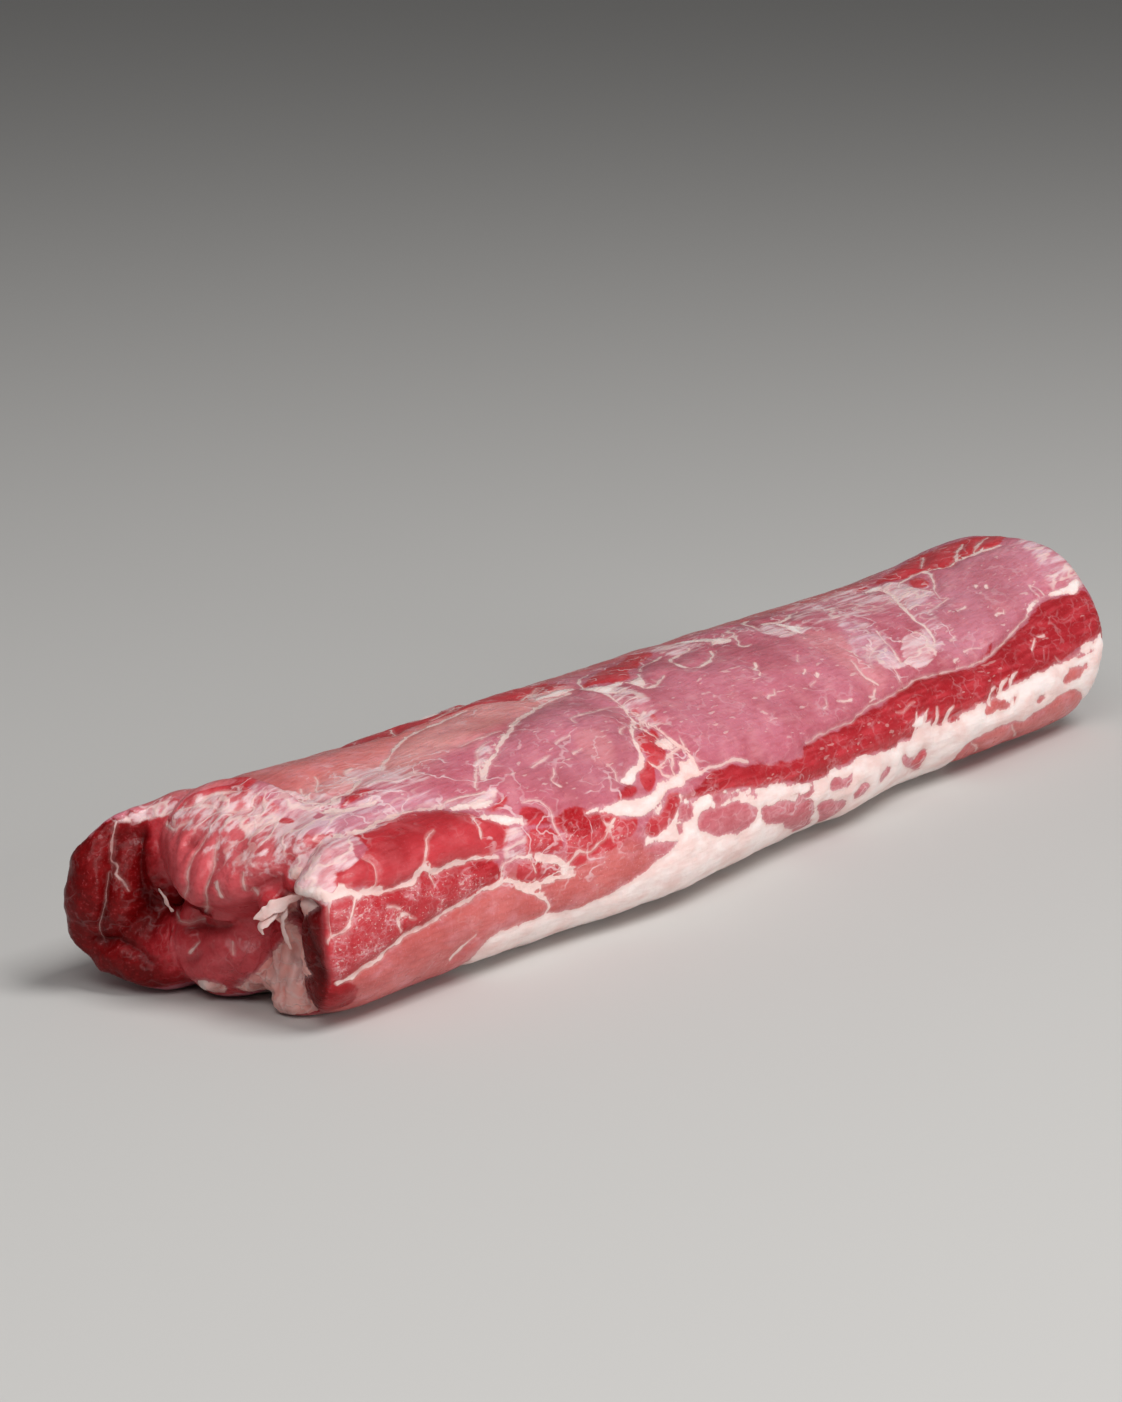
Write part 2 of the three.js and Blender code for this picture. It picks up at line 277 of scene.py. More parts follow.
    "white drop at the far top": patch("fat", (174.5, 88), (184, 90.6), (188.5, 88), (182, 85.8)),
    "white edge at the far end": patch("fat", (222, 34.2), (232, 37.4), (240, 39.2), (252, 39.4),
        (264, 38.4), (272, 42), (270, 45), (262, 43), (252, 42.4), (240, 40.8), (230, 39), ragged=1.2),
    "strip of the back": ribbon("red", (-236, 121, 132), (-215, 118, 140), (-180, 120, 143),
        (-140, 117, 138), (-100, 121, 141), (-55, 123, 146), (-10, 119, 143), (40, 121, 147),
        (90, 124, 145), (140, 120, 141), (190, 122, 146), (230, 118, 140), (256, 122, 134), ragged=1.8),
    "near fat of the back": ribbon("fat", (-226, 152, 155), (-205, 148, 160), (-180, 149, 166),
        (-158, 153, 163), (-135, 149, 158), (-112, 152, 154), ragged=2.4),
    "middle fat of the back": ribbon("fat", (-88, 150, 153), (-64, 148, 162), (-40, 151, 170),
        (-12, 147, 161), (14, 150, 158), (40, 152, 168), (66, 150, 160), (84, 153, 156), ragged=2.4),
    "far fat of the back": ribbon("fat", (108, 149, 152), (132, 147, 160), (158, 150, 168), (186, 148, 160),
        (212, 150, 166), (236, 148, 157), (250, 150, 153), ragged=2.4),
    "dark slit over the strip": patch("dark", (168, 20.4), (180, 22.8), (186.4, 26), (184, 23), (176, 21.2),
        ragged=0.5),
    "small far pocket": patch("pink", (245, 1.6), (248, 3), (249.6, 0.8), (247, 0)),
    "red band behind the top": patch("red", (-168, 100), (-130, 99), (-101, 99.6), (-90, 95), (-72, 91),
        (-53, 89.4), (-46, 92), (-52, 112), (-100, 117), (-150, 114), ragged=1.4),
    "white patch behind the top": patch("fat", (-118, 107), (-112, 112), (-103, 113), (-101, 110),
        (-108, 107), ragged=1.2),
    "red band of the near top": patch("red", (-276, 86), (-268, 84), (-256, 86), (-249, 91), (-256, 93),
        (-268, 90), (-275, 91)),
    "white edge of the brow": patch("fat", (-294, 32), (-279, 31), (-277, 35), (-276, 39), (-279, 46),
        (-294, 48), ragged=1),
    "red foot of the corner": patch("dark", (-285, -8.4), (-276, -10), (-269, -13), (-264.6, -18),
        (-264, -28), (-285, -30), ragged=0.8),
}

# Lines of fat on the long sides: along the loin, round it.
BODY_SEAMS = {
    "under the cap muscle": seam((2.6, 1), (-282, 24.6), (-274, 21.6), (-268, 19.8), (-260, 19.6),
        (-252, 18), (-245, 17), (-240, 16.6), (-236, 18.4), (-232, 20.4), (-228, 19.4), (-224, 17.6),
        (-215, 18.5), (-207, 18), (-197, 17), (-190, 15)),
    "under the marbled muscle": seam((1.6, 1), (-276, -10.4), (-268, -7.7), (-260, -6.4), (-256, -4.3),
        (-250, -2), (-244, 0), (-236, 0.6), (-225, 2.2), (-207, 4), (-199, 5.8)),
    "lower web": seam((1.2, 2), (-201, 6), (-190, 6), (-183, 5), (-177, 2), (-170, 0.4), (-160, 1),
        (-150, 0.2)),
    "slanting web": seam((1.4, 2.4), (-180, 12.6), (-170, 11.6), (-165, 10), (-160, 8), (-155, 5),
        (-150, 1.6)),
    "rim of the window": seam((1.4, 2), (-168, 44.6), (-158, 50.4), (-150, 53.6), (-140, 58), (-130, 62.4),
        (-122, 66), (-110, 71), (-100, 74.5), (-90, 77), (-80, 80), (-70, 81.6), (-60, 81.6)),
    "second rim": seam((0.8, 0.5), (-176, 42.6), (-168, 47), (-160, 53), (-152, 58.6), (-140, 62)),
    "far side of the window": seam((1, 1.7), (-51, 80), (-51, 72), (-55.6, 62), (-59, 56.6), (-66, 50),
        (-73, 46.8), (-79, 43.2), (-83.4, 39), (-84.8, 35)),
    "inner line of the window": seam(0.7, (-91, 60), (-80, 59.6), (-70, 60.6), (-62, 61), (-58.6, 58)),
    "near line of the top": seam((1, 1.4), (-190, 70), (-180, 75.5), (-172, 79), (-160, 85), (-150, 89.2),
        (-140, 92), (-130, 94.5), (-115, 96.5), (-103, 98)),
    "white fold": seam((2.4, 1), (-247, 82), (-246, 72), (-243, 64), (-236, 58.6), (-229, 61.6),
        (-220, 61.4), (-213, 63.4), (-206, 67)),
    "white band over the lilac skin": seam((3, 1.4), (-249, 57), (-240, 54), (-230, 50.6), (-221, 50.6)),
    "lip over the cap muscle": seam((2, 1), (-266, 41.6), (-252, 40.8), (-240, 40.6), (-230, 41.6),
        (-220, 42.2), (-208, 41.6), (-199, 39)),
    "ray off the web": seam((1.2, 0.9), (-48, 81), (-42, 87), (-35, 92), (-28, 95.4), (-20, 98)),
    "round loop": seam(1, (-30, 74), (-30, 68.6), (-31, 65.2), (-24, 64.5), (-18, 66.8), (-12, 69)),
    "long line of the top": seam(1.1, (-11, 80), (-5, 83.5), (0, 85.5), (8, 87), (15, 88.5), (21, 90.4)),
    "long loop": seam(1.3, (37, 87), (30, 85), (22, 84), (17, 83.6), (10, 77), (5.6, 71), (8, 67),
        (15, 67.5), (25, 70), (31, 73), (38, 77.4)),
    "line to the far top": seam((1.2, 2), (80, 79), (86, 86), (91, 92.4), (101, 98)),
    "line across the far top": seam((2, 0.9), (92, 83), (100, 81), (110, 83), (118, 87), (126, 89.4)),
    "line over the strip": seam(0.9, (-57, 19.7), (-45, 18.9), (-35, 18.7), (-27, 16.6)),
    "line along the strip": seam((0.5, 0.8), (18, 14.6), (30, 15.2), (50, 15.4), (62, 15.4), (75, 17.9),
        (85, 18.1), (98, 18.6), (112, 20.4), (128, 21.2), (148, 20), (165, 19.4), (180, 21), (195, 24.4),
        (207, 28.4), (222, 34)),
    "ridge in the lilac skin": seam((1.2, 1.8), (150, 34), (155, 39), (159, 46), (161, 54), (166, 62),
        (171, 69), (178, 76), (183, 83)),
    "white rim of the far red strip": seam((1, 1.6), (192, 82), (200, 86), (212, 86), (221, 84),
        (228, 80.6), (236, 82), (250, 80), (262, 78)),
    "first line of the back": seam((1, 1.8), (-232, 116), (-200, 113), (-160, 116), (-120, 112), (-70, 117),
        (-25, 113), (30, 117)),
    "second line of the back": seam((1.6, 1), (46, 114), (90, 118), (130, 114), (185, 117), (240, 112)),
    "branch of the back": seam((1.4, 0.7), (-120, 113), (-104, 122), (-92, 133), (-84, 146)),
    "second branch of the back": seam((1.3, 0.7), (60, 116), (74, 126), (90, 136), (97, 150)),
    "third branch of the back": seam((1.2, 0.7), (168, 117), (156, 127), (150, 138), (139, 147)),
    "edge of the lilac skin": seam((0.4, 0.7), (99, 34), (106, 38.6), (114, 41.6), (124, 44)),
    "beige line of the far field": seam((0.8, 1.2), (193, 62), (198, 68), (206, 74), (216, 82)),
    "line over the skin by the cap muscle": seam((0.5, 1), (-206, 42), (-195, 40.4), (-186, 39.4),
        (-176, 38.6)),
}

# Short lines, ticks and dots of fat on the long sides, and a few painted glints drawn as fat: along the loin,
# round it. The first of equals wins.
BODY_TICKS = (
    seam((1.1, 0.3), (-233, 20), (-229, 24), (-225, 28.3), (-218, 30.6)),
    seam((1.2, 0.6), (-228, 19.6), (-227.5, 14.6)),
    seam(0.45, (-258, 21), (-257, 27), (-262, 30.3)),
    seam(0.8, (-196.5, 24), (-194, 28.3), (-193, 29.6)),
    seam((1.6, 1.2), (-181, 2.6), (-170, -2.6), (-165, -5.6), (-161.6, -9),
        (-163, -12)),
    seam(0.7, (-172, 10.6), (-169.6, 5.4)),
    seam(0.8, (-188.6, 7.6), (-187, 12), (-181, 12.8)),
    seam(0.6, (-164, 30.4), (-158, 30), (-155, 27), (-154, 23.6), (-155.6, 19.4),
        (-153.6, 14)),
    seam((0.6, 1.2), (-131.4, 9.2), (-127.4, 11.8), (-123.4, 14.8)),
    seam((1.2, 0.5), (-128.8, 14.6), (-127, 11.6), (-126.2, 7.6)),
    seam(0.8, (-151, 6), (-146, 7.6), (-140, 6.6), (-134, 8.4)),
    seam(0.7, (-152, 66), (-140, 66.2), (-128, 66.4)),
    seam((1.2, 1.6), (-61, 46), (-59.6, 40), (-60, 34), (-59, 28), (-60, 20)),
    seam(0.8, (-60, 43.4), (-55, 44), (-52, 41.6)),
    seam((1, 0.5), (-60, 29), (-56, 32), (-54, 34.6)),
    seam(0.8, (-226, 70), (-218, 76), (-213, 80.6)),
    seam((1.4, 0.8), (-240, 72), (-235.6, 68), (-232, 72.4), (-227, 76)),
    seam(1, (65, 81), (60, 78), (54, 72), (59, 71)),
    seam(0.9, (62, 82.6), (66, 82.6), (70, 85.4), (66, 87), (62, 85)),
    seam((1.2, 0.8), (66, 86.6), (73, 89), (81, 91.4)),
    seam((0.5, 0.3), (93, 11.4), (100, 11.5), (108, 13)),
    seam(0.8, (111, 29), (109, 25), (108, 22.6)),
    seam(1.1, (221, 89), (231, 94), (240, 99)),
    seam(1.1, (237, 83), (247, 88), (259, 92)),
    seam(1, (251, 82), (262, 86), (273, 88)),
    seam((0.6, 1.2), (152, -14), (163, -21), (172, -28)),
    seam((0.6, 1.2), (184, -13), (194, -20), (204, -28)),
    seam((1.2, 0.9), (-85, 29.4), (-82.6, 26.8), (-79, 27.6), (-70, 29.4), (-60, 31)),
    seam(0.9, (-79.4, 27.4), (-83, 24), (-80, 22)),
    seam(0.9, (-76, 21), (-74.6, 24.4), (-71, 27), (-68.6, 29)),
    seam((1.2, 0.9), (-70, 46), (-67.6, 42.6), (-66, 36)),
    seam(0.8, (-68, 44.6), (-62, 49), (-58, 50.6), (-54, 52)),
    seam(0.8, (-63, 44.6), (-60, 49), (-58.6, 54)),
    seam(0.7, (-143, 42.5), (-138, 44), (-131, 45)),
    seam(0.7, (-120, 42.5), (-117, 43.4), (-114, 43.5)),
    seam(0.8, (-141, 31.6), (-142, 35), (-139, 36.4), (-137, 38.6)),
    seam((0.5, 0.9), (-109, 34), (-108, 31), (-110.6, 28)),
    seam(0.7, (-121, 48.8), (-116, 50), (-112, 50)),
    seam((0.8, 0.4), (-98, 56), (-96, 59), (-91, 60)),
    seam((0.8, 0.4), (-86, 44.4), (-82, 46.4), (-79, 47)),
    seam((2.4, 1.4), (32, 53.8), (35, 55), (37.8, 56.6)),
    seam((1.2, 0.8), (54.6, 42.8), (57, 43.8)),
    seam(1.1, (59.6, 38.4), (61, 39)),
    seam(0.8, (18.6, 38), (21, 38.6), (24, 38), (26.4, 39.8)),
    seam(1, (29.6, 49.8), (31, 50.4)),
    seam((0.5, 1.2), (57, 24.6), (61, 23), (66, 22.6)),
    seam(0.8, (80, 21), (83, 21.4), (86, 22.8)),
    seam((0.7, 0.4), (49.6, 35.2), (54.6, 36.2)),
    seam((0.7, 0.4), (45, 24.4), (48, 25), (50, 27)),
    seam((0.4, 0.7), (60, 49.6), (66, 52.4)),
    seam((0.5, 0.9), (91, 40), (89, 35), (87, 30), (90, 25.4)),
    seam(0.8, (98, 46), (100, 43), (98.6, 41)),
    seam((0.7, 1), (119, 30), (123, 37), (127, 45), (131, 52)),
    seam(0.9, (204, 39), (207, 40), (210, 39), (211, 40.4)),
    seam((0.5, 0.9), (172, 54), (180, 56.4), (190, 58), (196, 60)),
    seam(0.8, (163, 34), (168, 35.4)),
    seam((0.8, 0.5), (165, 26), (170, 26.4), (178, 25.4)),
    seam(0.9, (152.6, 23.4), (156, 24)),
    seam(1.4, (216, 59.4), (217, 60)),
    seam(1.2, (220.4, 56.6), (221.6, 57.4)),
    seam(1, (188, 48.6), (194, 50)),
    seam(0.8, (239, 42), (238.6, 47), (241, 49), (243, 46), (242.6, 42)),
    seam(1, (219.6, 22), (223, 22)),
    seam(0.8, (211, 17), (215, 20)),
    seam(0.8, (224, 10.4), (226.4, 8)),
    seam((1.3, 0.8), (-269.6, 20), (-271, 16), (-273.4, 12.2), (-276, 10), (-280, 8.6)),
    seam((0.9, 0.5), (-78, 91), (-66, 94), (-54, 99)),
    seam((0.5, 1), (-120, 101), (-108, 103), (-96, 108)),
    seam((1.8, 0.6), (-213, -17), (-210, -13), (-204, -10)),
    seam((0.6, 1.2), (-148, 95.6), (-142, 100), (-136, 106)),
    seam((0.9, 0.5), (-70, 90.6), (-60, 94), (-50, 98)),
    seam((0.5, 1), (-104, 102), (-92, 106), (-80, 112)),
    # These four ticks in the marbled muscle are painted glints, drawn as fat.
    seam(0.5, (-254, 12.2), (-251, 11.2), (-248, 10.4)),
    seam((0.8, 1.2), (-249.6, 7), (-248.8, 5), (-247.8, 2.8)),
    seam((1.2, 0.5), (-246.4, 7.8), (-243, 7.2)),
    seam((1, 0.5), (-242, 6.2), (-239.6, 5.4)),
    seam((2.6, 1.6), (-236.4, 18.2), (-233, 20)),
    seam((2.6, 0.9), (104, 0), (106, 4), (107, 7.4)),
    seam((2.4, 0.9), (110, 1), (113, 5), (116, 7.4)),
    seam((2, 0.8), (119, -1), (122, 3.4), (123, 6.4)),
    seam((2.2, 0.8), (127, -1), (130, 3), (134, 5.4)),
    seam((2.2, 0.8), (163, 2), (166, 5.4), (170, 7)),
    seam((2, 0.8), (172, 3), (176, 7), (181, 8.4)),
    seam((1.8, 0.8), (182, 4), (186, 8), (190, 9)),
)

# Areas of the long sides that more than one effect covers: along the loin, round it.
POCKETS = (
    (-110, 16), (-70, 14), (-30, 8), (60, 0), (130, -4), (130, -26), (20, -26), (-80, -8), (-110, 3))
BACK = ((-240, 104), (260, 100), (260, 150), (-240, 150))
LILAC_SKIN = ((97, 36), (106, 50), (116, 60), (132, 64), (131, 50), (124, 40), (112, 34))

# Soft areas of the long sides: along the loin, round it. Those that take away come after what they lessen.
BODY_WASHES = {
    "belly muscles": wash("front", 1, 8, (-295, -2), (-250, 4), (-205, 8), (-160, 6), (-110, 6), (-80, 12),
        (20, 2), (120, 0), (270, 2), (270, -60), (-295, -60)),
    "silverskin of the near top": wash("veil", 1.12, 4, (-286, 72), (-270, 72), (-258, 69), (-246, 66),
        (-238, 62), (-232, 57.6), (-225, 53), (-218, 51), (-240, 50), (-268, 49.6), (-286, 49)),
    "thin silverskin of the near top": wash("veil", 0.55, 8, (-290, 80), (-262, 80), (-248, 74), (-236, 70),
        (-232, 60), (-250, 44), (-290, 44)),
    "white smear": wash("veil", 1, 2, (-213, 60), (-206, 71), (-201, 77), (-195, 77.4), (-193, 73),
        (-184, 74), (-190, 69), (-193, 64), (-197, 56), (-201, 54.6), (-205, 59)),
    "thin skin by the smear": wash("veil", 0.55, 8, (-228, 62), (-205, 72), (-190, 68), (-186, 56),
        (-205, 48), (-225, 52)),
    "lilac skin by the cap muscle": wash("veil", 0.48, 4, (-272, 50), (-230, 51), (-203, 47), (-199, 41),
        (-215, 42), (-262, 42)),
    "lilac of that skin": wash("cool", 0.9, 6, (-262, 51), (-230, 51), (-203, 47), (-195, 41), (-215, 42),
        (-262, 42)),
    "pale side of the cap muscle": wash("veil", 1, 2, (-290, 42), (-268, 41), (-250, 40), (-251, 36.4),
        (-264, 34.6), (-268, 31.4), (-274, 30), (-290, 29.6)),
    # Painted shade in the hollow of the cap muscle.
    "painted shade in the cap muscle's hollow": wash("shade", 0.5, 5, (-248, 30), (-225, 36), (-205, 38), (-196, 33),
        (-205, 31), (-225, 30), (-242, 26)),
    "light lower cap muscle": wash("pale", 0.24, 4, (-270, 28), (-252, 29), (-230, 27), (-205, 28),
        (-190, 24), (-192, 18), (-240, 19), (-270, 23)),
    "warm flesh of the top": wash("warm", 0.9, 8, (-240, 70), (-195, 62), (-165, 66), (-120, 73), (-60, 84),
        (-60, 98), (-140, 104), (-220, 100)),
    "rosy back of the top": wash("front", 0.75, 8, (-250, 82), (-180, 80), (-140, 92), (-100, 99),
        (20, 105), (120, 98), (190, 98), (190, 118), (-250, 118)),
    "window": wash("cool", 0.45, 8, (-150, 32), (-120, 26), (-100, 30), (-86, 40), (-64, 55), (-57, 70),
        (-66, 78), (-95, 74), (-125, 62), (-150, 50)),
    "orange streaks in the window": wash("warm", 0.6, 3, (-114, 36), (-112, 46), (-104, 50), (-97, 48),
        (-100, 40), (-106, 35)),
    "middle field": wash("cool", 0.3, 10, (-48, 26), (20, 24), (95, 26), (96, 60), (20, 62), (-30, 60)),
    "warm far field": wash("warm", 0.45, 8, (84, 26), (104, 34), (108, 52), (98, 62), (84, 56)),
    "lilac skin": wash("cool", 1, 4, *LILAC_SKIN),
    "sheen of the lilac skin": wash("veil", 0.5, 4, *LILAC_SKIN),
    "second lilac skin": wash("veil", 0.5, 4, (150, 36), (158, 46), (164, 58), (176, 64), (190, 60),
        (176, 54), (166, 40)),
    "beige streaks": wash("veil", 0.7, 3, (114, 56), (120, 66), (127, 78), (138, 90), (141, 86), (131, 72),
        (122, 60)),
    "misty patch": wash("veil", 0.8, 4, (77, 67), (79, 78), (88, 80), (100, 80), (103, 70), (95, 65)),
    "misty top": wash("veil", 0.75, 5, (24, 88), (30, 100), (44, 104), (50, 96), (46, 88), (34, 84)),
    "misty web": wash("veil", 0.7, 4, (-64, 45), (-60, 54), (-54, 66), (-50, 76), (-40, 75), (-39, 64),
        (-46, 54), (-55, 46)),
    "streaky far top": wash("veil", 0.55, 7, (104, 74), (122, 92), (160, 98), (190, 84), (178, 70),
        (140, 66)),
    "pale corner at the far end": wash("veil", 0.7, 6, (252, 42), (258, 56), (270, 72), (284, 74),
        (284, 44)),
    "marbling": wash("marble", 1, 5, (-284, 18), (-240, 15), (-210, 14), (-197, 10), (-215, 5), (-250, 0),
        (-284, -4)),
    "marbling of the web": wash("marble", 0.5, 3, (-188, 14), (-170, 20), (-155, 17), (-130, 18),
        (-115, 10), (-135, 5), (-160, 8), (-182, 9)),
    "marbling of the front muscle": wash("marble", 0.35, 5, (-160, -2), (-130, 3), (-100, 1), (-100, -4),
        (-130, -10), (-160, -10)),
    "feathery blob in the web": wash("veil", 0.72, 4, (-186, 15), (-183, 21), (-177, 22), (-173, 19),
        (-174, 14), (-181, 12.6)),
    # The fleck washes paint small white flecks, partly specks of fat and partly painted glints.
    "flecks of the fields": wash("fleck", 0.8, 8, (-150, 30), (-60, 30), (20, 20), (120, 24), (200, 30),
        (260, 46), (260, 70), (60, 64), (-40, 62), (-100, 70), (-150, 56)),
    "flecks of the strip": wash("fleck", 0.4, 2, (-20, 12), (60, 13), (150, 17), (215, 26), (262, 34),
        (262, 16), (150, 5), (60, 3), (-20, 6)),
    "flecks of the back": wash("fleck", 0.8, 10, *BACK),
    "threads of the near top": wash("web", 1, 6, (-290, 86), (-240, 86), (-190, 78), (-160, 60), (-165, 42),
        (-200, 40), (-290, 44)),
    "threads of the window": wash("web", 0.3, 8, (-165, 46), (-120, 64), (-70, 78), (-50, 74), (-60, 40),
        (-100, 26), (-150, 28)),
    "threads of the web": wash("web", 1, 4, (-66, 18), (-70, 46), (-56, 66), (-50, 84), (-20, 80),
        (-26, 62), (-44, 54), (-54, 36), (-54, 18)),
    "threads of the top": wash("web", 0.8, 6, (-120, 84), (-50, 82), (60, 76), (110, 70), (200, 84),
        (200, 112), (-120, 112)),
    "threads of the far skin": wash("web", 0.9, 6, (98, 28), (104, 66), (130, 88), (190, 90), (200, 70),
        (180, 50), (150, 30)),
    "threads of the far red strip": wash("web", 0.25, 4, (170, 92), (240, 104), (282, 88), (282, 74),
        (220, 78), (180, 86)),
    "threads of the side muscle": wash("web", 0.8, 3, (-192, 34), (-155, 32), (-110, 22), (-112, 6),
        (-150, -2), (-190, 6)),
    "threads of the back": wash("web", 0.6, 10, *BACK),
    "bundles of the marbled muscle": wash("bundle", 1, 3, (-284, 20), (-240, 17), (-200, 17), (-188, 11),
        (-200, 5), (-250, -1), (-284, -7)),
    "bundles of the side muscle": wash("bundle", 0.9, 3, (-186, 22), (-150, 22), (-118, 15), (-112, 10),
        (-130, 4), (-160, 1), (-184, 6)),
    "bundles of the pockets": wash("bundle", 0.6, 4, *POCKETS),
    "bundles of the strip": wash("bundle", 0.4, 3, (-60, 15), (0, 9), (60, 13), (150, 17), (215, 26),
        (262, 34), (262, 16), (150, 5), (60, 3), (-40, 9)),
    "white patch by the lilac skin": wash("veil", 1.25, 2, (104, 31), (106, 35), (112, 37.6), (119, 39.6),
        (121, 36), (120, 31), (118, 28.4), (112, 29.6)),
    "white triangle": wash("veil", 1.25, 2, (122, 28), (125, 33), (131, 39), (140, 43), (148, 44),
        (157, 43.6), (152, 38), (149.6, 34.6), (155.6, 33), (147, 30), (138, 27.6), (130, 25.6)),
    "white smear of the far top": wash("veil", 0.95, 3, (168, 60), (172, 68), (178, 78), (186, 88),
        (197, 86), (194, 76), (196, 68), (184, 64), (176, 61)),
    "far field": wash("cool", 0.75, 8, (150, 30), (160, 50), (175, 60), (200, 72), (230, 76), (268, 74),
        (270, 56), (235, 44), (205, 32), (175, 26)),
    "swirl of silverskin": wash("veil", 0.9, 3, (-247, 60), (-246, 74), (-240, 80), (-233, 76), (-229, 66),
        (-227, 59), (-235, 57.4)),
    "skin inside the rim": wash("veil", 0.7, 2, (-168, 46), (-160, 53), (-150, 59.6), (-144, 60),
        (-147, 56.6), (-155, 52), (-162, 47)),
    "skin by the cap muscle": wash("veil", 0.75, 2, (-203, 41), (-192, 39.6), (-180, 38), (-172, 38.4),
        (-172, 36), (-184, 34), (-192, 37)),
    "bare slit in the near skin": wash("veil", -1, 1.5, (-260, 55.6), (-254, 57.6), (-250, 57),
        (-252, 54.6), (-258, 54)),
    "second bare slit": wash("veil", -1, 1.5, (-250, 57.4), (-243, 58.6), (-238, 57.6), (-244, 56)),
    "bare rust triangle": wash("veil", -1, 1.5, (-237, 54), (-230, 57.6), (-222, 60), (-214, 57),
        (-222, 54.4), (-230, 53.4)),
    "bare rust spot": wash("veil", -1, 1.5, (-272.6, 62.6), (-270, 65.4), (-268, 62), (-270, 59.4)),
    "pale oval at the near end": wash("pale", 0.5, 2, (-285, 22), (-275, 20), (-271, 18), (-274, 12),
        (-280, 10), (-285, 12)),
    "dark foot of the corner": wash("shade", 0.45, 3, (-285, -10), (-275, -12), (-266, -19), (-266, -28),
        (-285, -30)),
    "threads of the pockets": wash("web", 0.6, 4, *POCKETS),
    "blush of the star": wash("blush", 0.3, 3, (-92, 16), (-90, 30), (-74, 40), (-60, 44), (-56, 30),
        (-58, 16), (-74, 15)),
    "deep far strip": wash("shade", 0.3, 8, (188, 8), (225, 10), (268, 14), (268, 38), (225, 32),
        (195, 24)),
    "rosy pockets": wash("front", -0.6, 4, *POCKETS),
    "dusky foot of the window": wash("shade", 0.25, 8, (-140, 30), (-120, 26), (-100, 28), (-88, 38),
        (-80, 48), (-100, 46), (-130, 42)),
    "deep marbled muscle": wash("shade", 0.2, 3, (-283, 20), (-252, 17), (-224, 16), (-196, 15), (-189, 10),
        (-207, 5), (-245, 1), (-268, -6), (-281, -9)),
}

# Fold lines of the long sides: along the loin, round it.
BODY_CREASES = {
    "under the cap muscle": crease(0.9, 2.2, (-282, 25), (-268, 21.5), (-252, 18.5), (-238, 18),
        (-224, 17.7), (-207, 18), (-190, 15)),
    "over the cap muscle": crease(0.9, 2.6, (-252, 41), (-230, 42), (-212, 42), (-201, 39), (-192, 33),
        (-180, 25)),
    "under the marbled muscle": crease(0.7, 2, (-280, -8), (-258, -4.4), (-245, 0), (-225, 2.4), (-207, 4),
        (-190, 5)),
    "top of the strip": crease(0.8, 2.2, (-60, 17), (-45, 18.6), (-25, 15.6), (0, 11.4), (30, 15), (60, 15),
        (90, 18), (130, 21), (165, 19), (195, 24), (225, 34.6), (245, 39), (265, 39)),
    "foot of the strip": crease(0.6, 2, (-45, 9), (0, 2.5), (60, 0.5), (120, 0.5), (180, 4.6), (220, 7),
        (255, 13)),
    "white fold": crease(-0.9, 2.4, (-247, 82), (-246, 72), (-243, 64), (-236, 58.6), (-229, 61.6)),
    "beside the white fold": crease(0.9, 2, (-241, 80), (-240, 73), (-237, 64), (-231, 65.4)),
    "behind the top": crease(1, 4, (-215, 97), (-170, 101), (-120, 101)),
}

# Patches of the torn near end: across the loin, height.
TORN_PATCHES = {
    "back lobe": patch("dark", (70, 68), (44, 66), (34, 46), (30, 28), (26, -4), (70, -4)),
    # The front face gets dark muscle and painted shade, for the shade it lies in under the brow.
    "front face in painted shade": patch("dark", (-24, 46), (-33, 48.6), (-41, 46.4), (-43.6, 43), (-44.4, 36),
        (-45, 26), (-44, 14), (-40, 8), (-36, 3), (-29, 9), (-27, 15), (-26, 22), (-22, 29), (-22, 38)),
    "fat pad": patch("fat", (3, 6), (-3, 10), (-7, 13.6), (-10, 18), (-13, 21), (-15.6, 24.4), (-16.6, 29),
        (-17.6, 34), (-19, 40), (-20.4, 44), (-23, 43), (-21.6, 38), (-20.8, 33), (-21.4, 29), (-23.6, 25),
        (-25.6, 21), (-26.6, 15), (-28.4, 9), (-33, 5), (-36, -4), (9, -4), ragged=0.8),
    "flake on the front face": patch("fat", (-29, 46.6), (-36, 46.8), (-41, 44.8), (-42.6, 44), (-37, 41.6),
        (-33, 39), (-29, 37.6), (-26, 40), (-23, 43)),
    "low flake on the front face": patch("fat", (-29, 29), (-33.6, 28), (-35, 25.4), (-36.8, 23),
        (-38.6, 21), (-36.6, 19.8), (-35, 18.4), (-33, 18.2), (-30, 20)),
    "white rim of the brow": patch("fat", (-23, 51.4), (-28, 51.4), (-33, 50.6), (-38, 50.4), (-43, 49),
        (-48, 47.6), (-48, 45), (-43, 46.8), (-38, 48.6), (-33, 48.8), (-28, 49.8), (-24, 49.2),
        ragged=0.9),
    "pale foot": patch("fat", (17, 6.4), (13, 8.4), (8, 7.2), (5.6, 6), (9, 2), (18, 2), ragged=1.2),
}
